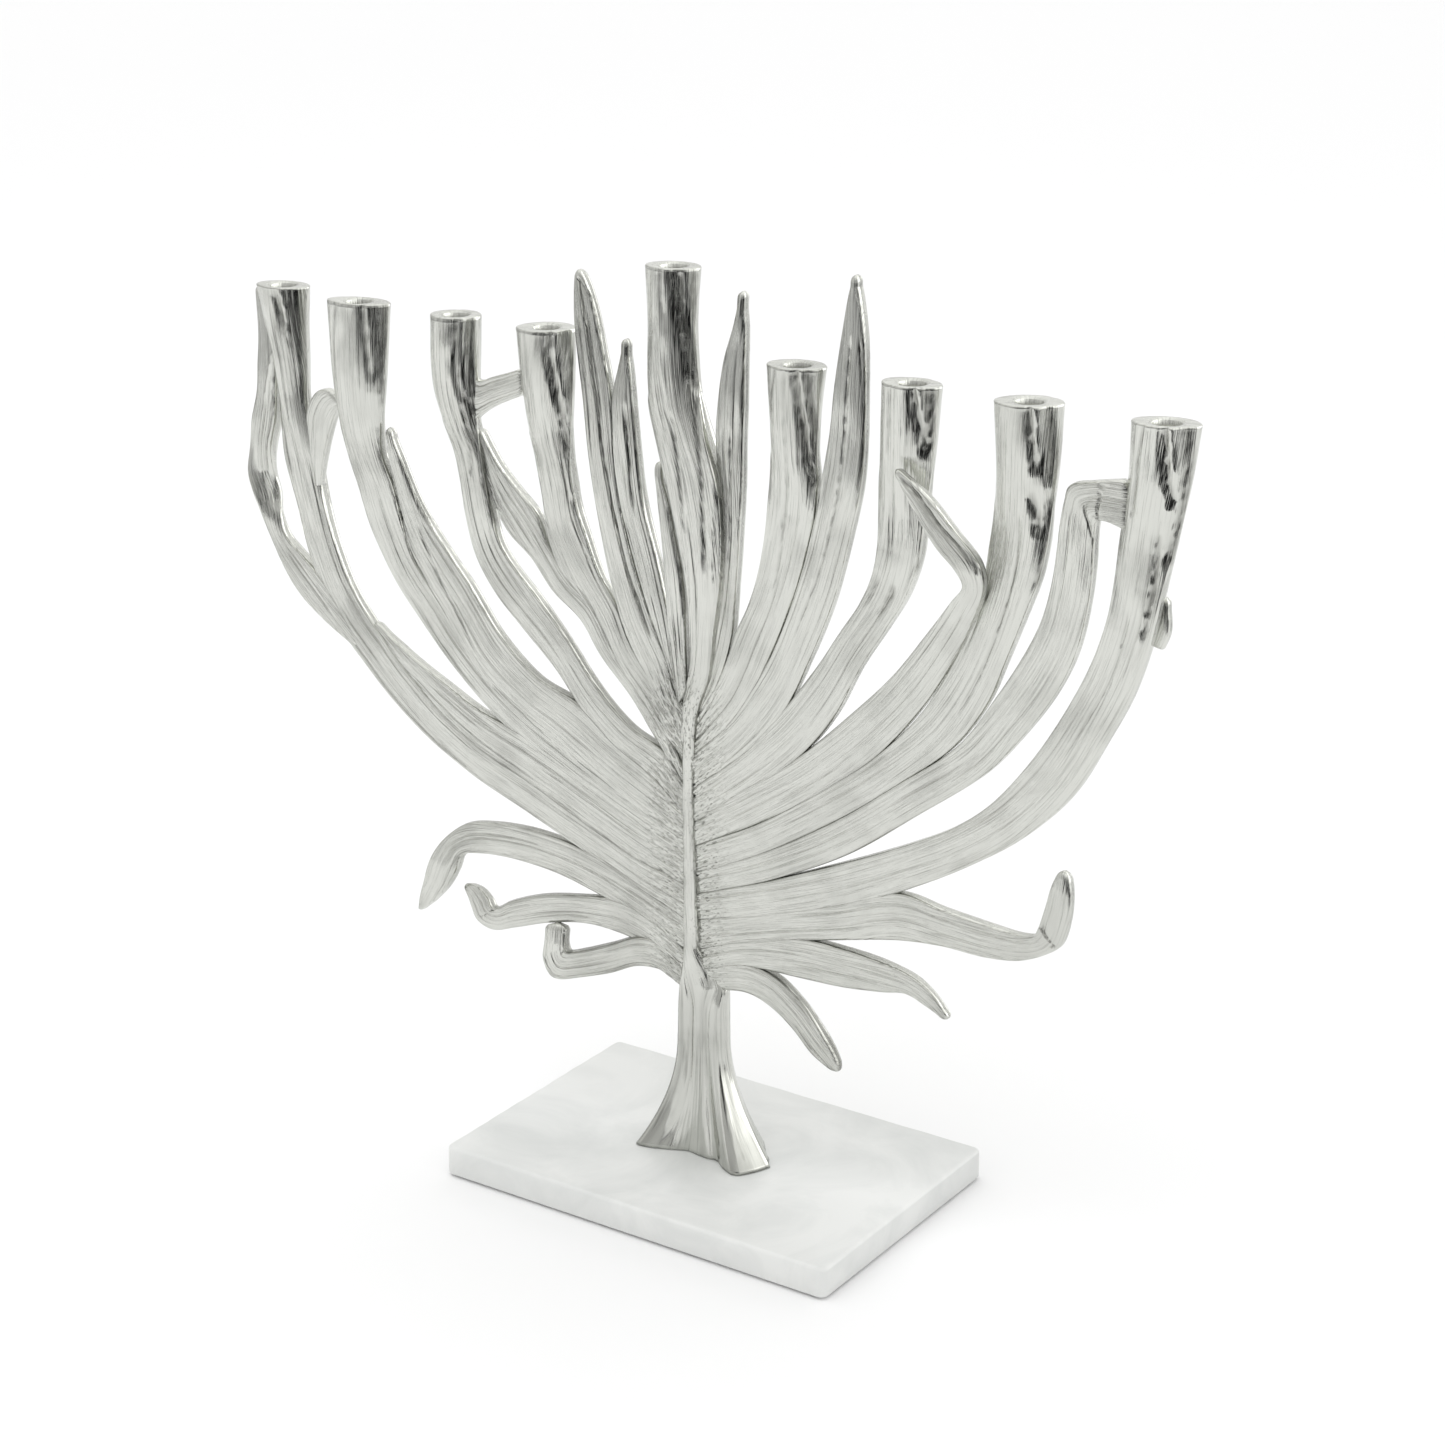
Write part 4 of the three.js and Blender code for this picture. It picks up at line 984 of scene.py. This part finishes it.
make_leaf("branch_4", [
    at(-13, 176, -11, 183),
    at(-20.5, 183.5, -17.5, 190),
    at(-31, 194.5, -27, 203.5),
    at(-43.5, 208, -37, 216.5),
    at(-52, 222, -43.5, 231.5),
    at(-60, 232.5, -51, 242),
    at(-68.5, 240, -57, 256, 0, 5.5),
    at(-74.5, 252.5, -61, 266, 0, 6),
    at(-77, 271, -62.5, 275, -0.5, 6.8, 0.1),
    at(-79.5, 284, -63.3, 284, -1, 8, 0.4),
    at(-83, 296, -63, 296, -1.5, 10, 0.7),
    at(-85, 312, -62, 312, -2, 13.5, 1),
    cup(-73.9, -2.2, 11.7, 9.1, 22),
], creases=[
    (0.5, 0.8, [(12, -0.55), (11.2, -0.45)]),
    (1.4, 1.3, [(12, 0.3), (11.7, 0.3), (11.1, 0.55), (10.3, 0.75), (9.5, 0.85)]),
    (-0.7, 1.2, [(12, 0.5), (11.5, 0.65), (10.9, 0.85)]),
    (1.0, 1.4, [(12, 0.75), (11.5, 0.9), (10.7, 0.95)]),
    (0.5, 1.5, [(7.5, 1), (6.3, 1)]),
])
make_leaf("branch_6", [
    at(-7, 190.5, -7.5, 178.5),
    at(4, 210, 12, 197.5),
    at(8.5, 221.5, 20.5, 211),
    at(11.5, 230.5, 28, 227),
    at(17, 242, 34.5, 242.5, 0, 5.5),
    at(21.5, 255.5, 39.5, 257, 0, 6),
    at(24, 268.5, 43, 270, 0, 6),
    at(25.5, 280, 45.5, 281, 0, 6.5, 0.1),
    at(26.3, 291.5, 46.5, 292, 0, 8, 0.4),
    at(26, 303, 46, 303, 0, 10, 0.7),
    at(25.6, 318, 46.5, 318, -0.4, 13, 1),
    cup(36.8, -0.7, 11.6, 8.5, 2.5),
], creases=[
    (1.2, 1.3, [(11, 0.3), (10.3, 0.4), (9.7, 0.6), (8.8, 0.75), (8.1, 0.95)]),
    (0.9, 1.3, [(11, 0.6), (10.3, 0.75), (9.7, 0.9)]),
    (-0.5, 0.9, [(11, 0.45), (10.4, 0.6), (9.8, 0.75)]),
    (0.4, 0.8, [(10.8, -0.05), (9.4, -0.1), (6.8, -0.2), (4.9, -0.05)]),
    (0.5, 0.7, [(10.9, -0.45), (9.8, -0.85)]),
])
make_leaf("branch_7", [
    at(-7.5, 164, -7.5, 151),
    at(13, 181, 17, 169),
    at(31.5, 201.5, 40.5, 188.5),
    at(45.5, 221, 56, 208),
    at(57, 239, 66, 227),
    at(65.5, 252, 76.5, 243.5, 0, 5.5),
    at(70.3, 263, 84.5, 257, 0, 6),
    at(72.4, 275, 89.4, 271, 0, 6.5, 0.1),
    at(72.4, 288, 91.4, 286, 0, 8, 0.4),
    at(71.8, 300, 93, 299, 0, 10, 0.7),
    at(72.3, 314, 94.8, 314, -0.5, 13, 1),
    cup(84.8, -1.1, 11.8, 8, -2),
], creases=[
    (1.3, 1.4, [(11, 0.35), (10.6, 0.45), (10.1, 0.7)]),
    (-0.8, 1.2, [(11, 0.55), (10.4, 0.65)]),
    (1.3, 1.8, [(11, 0.75), (10.5, 0.8), (10, 0.8)]),
    (0.6, 0.8, [(10.9, -0.4), (9.8, -0.5)]),
    (0.6, 1.6, [(5.3, -0.65), (6, -0.65)]),
    (0.7, 1.6, [(5.3, 0.25), (6, 0.25)]),
    (0.5, 1.2, [(7.6, 1), (6.8, 1)]),
])
make_leaf("branch_8", [
    at(-7, 140.5, -6.5, 130),
    at(21.5, 155.5, 25, 146),
    at(51, 176, 56.5, 166),
    at(74.5, 195, 84, 186.5),
    at(92.5, 215.5, 106, 205),
    at(104.5, 236.5, 119, 224),
    at(111.5, 252, 126, 241.5, 0, 5.5),
    at(115.5, 266.5, 132.5, 258.5, 0, 6),
    at(117.6, 280, 137.5, 272.5, 0, 7, 0.2),
    at(118.6, 290, 140.4, 286, 0, 8.8, 0.5),
    at(119, 301, 142, 300, -0.4, 11, 0.8),
    at(119.2, 314, 143.4, 314, -0.8, 14, 1),
    cup(131.3, -1.3, 12.5, 9.2, 15),
], creases=[
    (1.2, 1.3, [(12, 0.15), (11.5, 0.3), (11.1, 0.45)]),
    (-0.7, 1.4, [(12, 0.35), (11.3, 0.5)]),
    (1.4, 1.6, [(12, 0.65), (11.4, 0.8), (10.8, 0.85)]),
    (0.9, 1.8, [(10.2, 0.4), (9.7, 0.6), (9.4, 0.65)]),
    (0.6, 1.0, [(10.2, 0.9), (9, 0.95), (7.9, 0.95)]),
    (0.4, 0.7, [(9.5, 0.05), (7.4, 0.15), (5.7, 0.2), (4.7, 0.2)]),
])
make_leaf("branch_9", [
    at(-6, 120.5, -5.5, 111),
    at(30, 135, 31, 121.5),
    at(61, 149, 66, 134.5),
    at(90.5, 164, 94, 148.5),
    at(108, 174.5, 114, 160.5),
    at(122, 186.5, 134, 175),
    at(138, 207, 153.5, 195.5),
    at(150.5, 228, 166.5, 219),
    at(159, 246, 175.5, 238, 0, 5.5),
    at(164.8, 264, 181.5, 258.5, 0, 6.3),
    at(167, 280, 184.7, 275, 0, 7.5, 0.3),
    at(167.7, 293, 187.9, 289.5, 0, 9.3, 0.6),
    at(168.7, 304, 190.6, 302, -0.3, 11, 0.8),
    at(170, 316, 193.3, 316, -0.7, 13.5, 1),
    cup(183.1, -1, 12.5, 7.9, 6),
], creases=[
    (1.2, 1.3, [(14, 0.15), (13.4, 0.3), (12.6, 0.6)]),
    (-0.9, 1.5, [(14, 0.35), (13.2, 0.6)]),
    (1.4, 2.0, [(14, 0.7), (13.3, 0.85), (12.3, 0.95), (10.9, 0.95)]),
    (0.7, 0.8, [(13.9, -0.45), (13.4, -0.55), (12.1, -0.55)]),
    (0.9, 1.4, [(11.4, 0.45), (10.1, 0.65), (9.2, 0.65)]),
    (0.4, 0.7, [(9.2, -0.15), (8, 0), (6.7, -0.1)]),
])

# ------------------------------------------------------------------ blades on the left
# Uncut leaves between the branches of the left half, cast and joined like them; most run
# out to a point, and two small ones bridge across to the next branch.
make_leaf("blade_front", [
    at(-12.5, 199, -9.5, 204, -3, 4),
    at(-15, 215, -9.5, 226, -3, 4.5),
    at(-17.5, 232, -10, 237, -3, 4.5),
    at(-18.5, 247, -11.5, 251, -3, 4.5),
    at(-20, 261, -14.5, 264, -3, 4.5),
    at(-22, 276, -17.5, 276.5, -2.6, 4.5),
    at(-23, 285.5, -20.5, 285.5, -2.3, 4.5),
    at(-22.6, 291, -21.8, 291, -2, 3.5),
], creases=[
    (0.9, 0.7, [(4.8, 1), (3.8, 1), (2.8, 1), (1.9, 1)]),
    (-0.5, 0.5, [(6.8, 1), (4.9, 1), (3.6, 1)]),
])
make_leaf("blade_4_5_short", [
    at(-14, 197, -11, 193),
    at(-20.5, 215, -16, 209),
    at(-28, 232, -18.5, 228),
    at(-36, 255, -23.5, 250),
    at(-41, 273, -30, 272),
    at(-43.8, 294, -33, 294),
    at(-44.3, 311, -34.8, 311),
    at(-41, 325, -36, 324, 0, 4.5),
    at(-38.6, 335, -37.8, 335, 0, 4),
], creases=[
    (0.6, 0.9, [(7.9, 0.85), (7.4, 1)]),
    (0.6, 0.8, [(5.7, 0.35), (5, 0.35), (4.1, 0.2)]),
    (0.5, 0.8, [(5.8, 1), (5, 1), (4, 1)]),
])
make_leaf("blade_4_5_tall", [
    at(-13.5, 184, -11, 192),
    at(-20, 193, -16.5, 201),
    at(-27.5, 204, -21, 216),
    at(-37, 217.5, -28, 231),
    at(-45, 238, -34.5, 248),
    at(-51.5, 265, -40.5, 270),
    at(-55.5, 288, -43.5, 290),
    at(-57.8, 310, -44.6, 311),
    at(-60, 328, -48, 328),
    at(-61, 342, -51, 342),
    at(-61, 352, -54.5, 352, 0, 4.5),
    at(-60.4, 358.5, -58, 358.5, 0, 4),
], creases=[
    (0.8, 0.6, [(10.4, -0.15), (8.3, 0.05), (7.4, 0), (6.5, 0.15), (5.3, 0.35), (4.7, 0.45),
                (4, 0.45), (3.4, 0.55), (2.7, 0.5)]),
    (0.6, 0.7, [(10.3, 0.15), (9.6, 1), (8.5, 1), (7.5, 1)]),
])
make_leaf("blade_3_4", [
    at(-11, 164, -11, 169),
    at(-24, 180, -21, 184.5),
    at(-37, 196.5, -34, 200.5),
    at(-51, 210, -47, 215),
    at(-60.5, 222.5, -55, 229),
    at(-73, 231.5, -65, 237),
    at(-83, 243, -75, 250),
    at(-95, 252.5, -80.5, 261.5),
    at(-100.5, 262, -89.5, 269.5),
    at(-103, 272, -97, 277.5, -0.8),
    at(-106, 284, -101.5, 284.5, -1.5),
    at(-109, 291.5, -105.3, 291.5, -2, 4.5),
])
make_leaf("blade_2_3", [
    at(-11, 144, -11, 152),
    at(-30, 148.5, -27, 164.5),
    at(-51, 158, -46, 175),
    at(-73, 168, -61.5, 187),
    at(-93.5, 180, -82.5, 194.5),
    at(-110.5, 191.5, -99.5, 208),
    at(-124.5, 210, -114, 226.5),
    at(-135, 224, -123, 237, -0.4),
    at(-144, 239, -132, 248, -0.8),
    at(-148, 254, -138.5, 258, -1.5),
    at(-150.5, 271, -144.5, 273, -3),
    at(-150.3, 286, -149.3, 286, -4.5, 4),
], creases=[
    (0.9, 0.8, [(10.1, 1), (9.2, 1), (8.3, 1)]),
    (0.4, 0.7, [(8.1, 0.25), (6.8, -0.2), (5.5, -0.45)]),
])
make_leaf("blade_1_2", [
    at(-11, 124, -11, 134),
    at(-33, 129, -33, 144),
    at(-59.5, 139, -59.5, 156),
    at(-88.5, 150.5, -87, 168),
    at(-113, 160.5, -112, 175.5),
    at(-131, 171.5, -128, 183),
    at(-147, 184, -143.5, 190.5),
    at(-158, 194.5, -155, 197, 0, 4.5),
    at(-165, 201.5, -164.3, 202.2, 0, 4),
])
make_leaf("leaf_1_2", [
    at(-191.5, 255.5, -189, 256, -1, 4),
    at(-192.5, 266, -186.8, 266, -1.2),
    at(-193.3, 277, -184, 274.8, -1.5),
    at(-193, 286.5, -180.8, 282, -2.2),
    at(-186.5, 295.5, -177, 288.5, -3.2, 4.5),
    at(-179, 297.5, -174, 292.5, -3.8, 4),
])
make_leaf("leaf_3_4", [
    at(-110, 315, -109.5, 292.5, -3),
    at(-105.8, 310.8, -104.8, 297.3, -3, 4.5),
    at(-98.1, 313.2, -98.5, 301.4, -3, 4.5),
    at(-90, 316, -90, 305.5, -2.7, 4.5),
    at(-84, 318.5, -84, 308, -2.5, 4.5),
])
make_leaf("outer_fold_left", [
    at(-175.3, 190, -172.6, 192.4, 0, 4.5),
    at(-192, 199.5, -184, 208),
    at(-202.5, 207.5, -192, 217),
    at(-211, 217.5, -201, 224.5),
    at(-217, 228.5, -209.5, 231.5),
    fold(-220.5, -2.5, 238.5, -213, 1, 239.5),
    fold(-224, -3.5, 247, -215, 3.5, 247.5),
    fold(-227, -2.5, 256.5, -216.5, 2, 257.5),
    at(-225.5, 268, -214.5, 268.5, -0.5, 6),
    at(-223.5, 279, -211.5, 280, -0.5, 6.5),
    at(-220, 291, -210.5, 292, -0.5, 6.5),
    at(-218.8, 303, -209.5, 303.5, -0.5, 6.5),
    at(-218, 314, -209.5, 314.5, -0.5, 6.2),
    at(-218.3, 324, -211, 324.5, -0.5, 5.5),
    at(-219, 334.2, -214, 334.8, -0.5, 4.5),
], creases=[
    (-0.5, 0.6, [(11.7, 0.8), (10, 0.1), (9, 0), (7.3, 0)]),
    (0.6, 0.8, [(11.7, 1), (10, 0.8), (8.6, 0.65), (7.1, 0.5)]),
])

# ------------------------------------------------------------------ blades on the right
# The right half's uncut leaves: two stand up to a point, one folds back in front of the
# seventh branch, and one folds over against the ninth.
make_leaf("blade_5_6", [
    at(-5, 197.5, -7, 192),
    at(0, 213, 2, 206),
    at(3, 233, 9, 226),
    at(5, 252, 11.5, 250),
    at(6, 270, 13, 270),
    at(4, 287, 14, 287),
    at(2.5, 302, 14.3, 302),
    at(3.5, 318, 14.8, 318),
    at(6, 333, 15, 333.5),
    at(10, 346, 15.2, 346.5, 0, 4.5),
    at(13, 359, 14, 359, 0, 4),
], creases=[
    (0.4, 0.6, [(9.8, 1), (8.6, 1), (7.1, 1), (4.7, 1)]),
    (0.35, 0.6, [(6.1, 0.15), (4.2, -0.05), (3, -0.1), (1.8, -0.4)]),
])
make_leaf("blade_6_7", [
    at(-7.5, 177.5, -7.5, 165),
    at(10.5, 196, 14, 182.5),
    at(25, 219.5, 33, 204),
    at(33, 238, 44, 226),
    at(40.5, 260, 53.5, 249),
    at(46, 282, 60, 273),
    at(49, 298, 64.7, 294.5),
    at(51.5, 313, 66, 313),
    at(53.3, 330, 66, 330),
    at(56, 348, 65.5, 348),
    at(58.5, 363, 63.3, 363, 0, 4.5),
    at(60.5, 370.4, 61.3, 370.4, 0, 4),
], creases=[
    (0.4, 0.7, [(8.8, 0.7), (7.8, 0.9), (6.6, 0.95), (5.9, 1)]),
    (0.4, 0.7, [(8.8, -0.1), (7.3, -0.1), (5.8, -0.05), (4.6, -0.05), (3.3, -0.25)]),
])
make_leaf("blade_7_8", [
    at(-7.5, 150.5, -7, 141.5),
    at(14.5, 167.5, 21, 156.5),
    at(40.5, 187, 50, 176),
    at(63, 208.5, 73, 194.5),
    at(80, 227, 90, 214),
    at(94, 245.5, 103.5, 234.5, -1),
    at(105, 260, 113.5, 253.5, -3.5),
    at(111, 268, 119.5, 268.5, -7, 4.5),
    at(109.5, 273.5, 118.5, 278, -9.5, 4.5),
    at(102, 281, 109.5, 288, -10.5, 4.5),
    at(91.5, 294.5, 98, 299, -10.5, 4),
    at(84.2, 305.5, 85.4, 307, -10.5, 3.5),
], creases=[
    (1.0, 0.9, [(10.6, 0.25), (9.6, 0.2), (8.7, 0.45), (7.9, 0.7)]),
    (-0.5, 0.6, [(10.8, 0.85), (9.8, 0.75), (9, 1), (8.2, 1)]),
])
make_leaf("blade_8_9", [
    at(-6.5, 129.5, -6, 121.5),
    at(24, 144.5, 28, 135.5),
    at(55.5, 164, 61, 153),
    at(84, 186, 91, 175),
    at(108, 206, 119, 197),
    at(122.5, 227, 133, 213.5),
    at(132, 243, 145, 231),
    at(139, 258, 152.5, 247),
    at(142.5, 272, 156.5, 264),
    at(144.5, 286, 158.3, 278.5, -0.5),
    at(145.6, 295.4, 158.8, 289, -1),
    at(147, 303, 159.2, 295.5, -1.3),
    at(149, 308.7, 160, 298, -1.7),
    at(158, 311.5, 163, 298.5, -2),
    at(171.5, 314, 171.5, 296, -1.5, 4.5),
], creases=[
    (0.8, 0.8, [(13.2, -0.75), (13.1, -0.1), (12.5, 0.85)]),
    (0.4, 0.8, [(12.6, -0.1), (10.3, 0.95)]),
])
make_leaf("spur_9", [
    at(177.5, 256, 183.5, 254.5, 4.5, 3.5),
    at(179.5, 261, 185.5, 260, 4.5, 3.5),
    at(181.5, 267, 185.3, 266.8, 4.5, 3.5),
    at(183, 273, 183.8, 273, 4.5, 3),
])

# ------------------------------------------------------------------ drooping blades
# The lowest leaves hang out on both sides of the rib and curl at their tips.
make_leaf("droop_left_upper", [
    at(-11, 96.5, -11, 108.5),
    at(-33, 105, -34, 117),
    at(-54.5, 110.5, -57, 125.5),
    at(-75, 114.5, -82, 129),
    at(-98, 116, -105, 128.5, -1.5),
    at(-112, 115, -117.5, 126, -3.5),
    at(-117.5, 113.5, -126.5, 118.5, -6),
    at(-119, 108, -132.5, 109, -8),
    at(-123, 100, -135.5, 99, -9, 4.5),
    at(-130, 92, -137.5, 91, -9.5, 4.5),
    at(-137, 86, -138, 86, -10, 4),
])
make_leaf("droop_left_middle", [
    at(-11, 86, -11, 94.5),
    at(-26, 93, -26, 103.5),
    at(-42, 96, -44, 108.5),
    at(-58, 97, -62, 106.8, -1.5),
    at(-76, 94.2, -79, 104, -5),
    at(-90, 89.8, -92.5, 99.2, -8),
    at(-100, 87.2, -97, 96.5, -9.8),
    at(-107, 89.3, -100, 96, -9.8),
    at(-110.3, 93, -102.3, 98.5, -9, 4.5),
    at(-113.5, 97, -107.5, 101.3, -7.5, 4.5),
    at(-117, 100.5, -115, 102, -6, 4),
], creases=[
    (0.7, 0.7, [(6.9, -0.25), (6.8, 0.7), (6.1, 1)]),
])
make_leaf("droop_left_lower", [
    at(-11, 78.5, -11, 85),
    at(-16.5, 82, -17, 90),
    at(-24, 85, -25, 95),
    at(-34.5, 84.5, -34, 95.5, -1),
    at(-46, 79.5, -46, 90.5, -3.5),
    at(-59, 75.5, -58, 86, -7),
    at(-67.5, 73, -64, 84.3, -8),
    at(-71.5, 73.4, -64.8, 84.8, -8),
    at(-75, 79.5, -65.4, 85.8, -7.9),
    at(-74.6, 87, -66, 88.5, -7.4, 4.5),
    at(-74.8, 94.5, -66.2, 95.5, -6, 4.5),
], creases=[
    (0.7, 0.7, [(9.7, 0.95), (8.6, 1), (7.6, 0.75)]),
])
make_leaf("droop_right_upper", [
    at(-5.5, 110, -5, 99),
    at(23, 119.5, 23, 108.5),
    at(55, 130, 57, 117.5),
    at(83, 142, 85, 124),
    at(104, 140.5, 104, 126.3, -1),
    at(124, 139.7, 123, 127.2, -2.5),
    at(137, 140, 138, 130.3, -4),
    at(143, 141.5, 149, 136, -5),
    at(144.8, 144.5, 154, 140.3, -5.3),
    at(147.5, 153.9, 157, 150.3, -5.3, 4.5),
    at(149.3, 162, 157.3, 160, -4.8, 4.5),
    at(151.8, 168.8, 155.8, 168.2, -4.2, 4),
], creases=[
    (0.9, 0.8, [(8.2, -0.7), (8, -0.05), (7.9, 0.6)]),
])
make_leaf("droop_right_middle", [
    at(-4.5, 98, -3.5, 90.5),
    at(16, 107, 17, 96.5),
    at(42, 113, 41, 98),
    at(60, 114, 61, 99.5, -1),
    at(81, 113.5, 79.5, 102.5, -2.5),
    at(93.5, 111, 90, 104.5, -3),
    at(102, 105.5, 98.5, 101.5, -3, 4.5),
    at(107.8, 98.8, 106.6, 97.8, -3, 4),
])
make_leaf("droop_right_lower", [
    at(-3, 90, -2, 82),
    at(15, 96, 16.5, 85.5),
    at(29, 94.5, 27, 83),
    at(41.5, 86.5, 38, 76),
    at(51, 76, 47, 67.5),
    at(57, 67.5, 54, 63.5, 0, 4.5),
    at(58.8, 62.8, 57.8, 62, 0, 4),
])
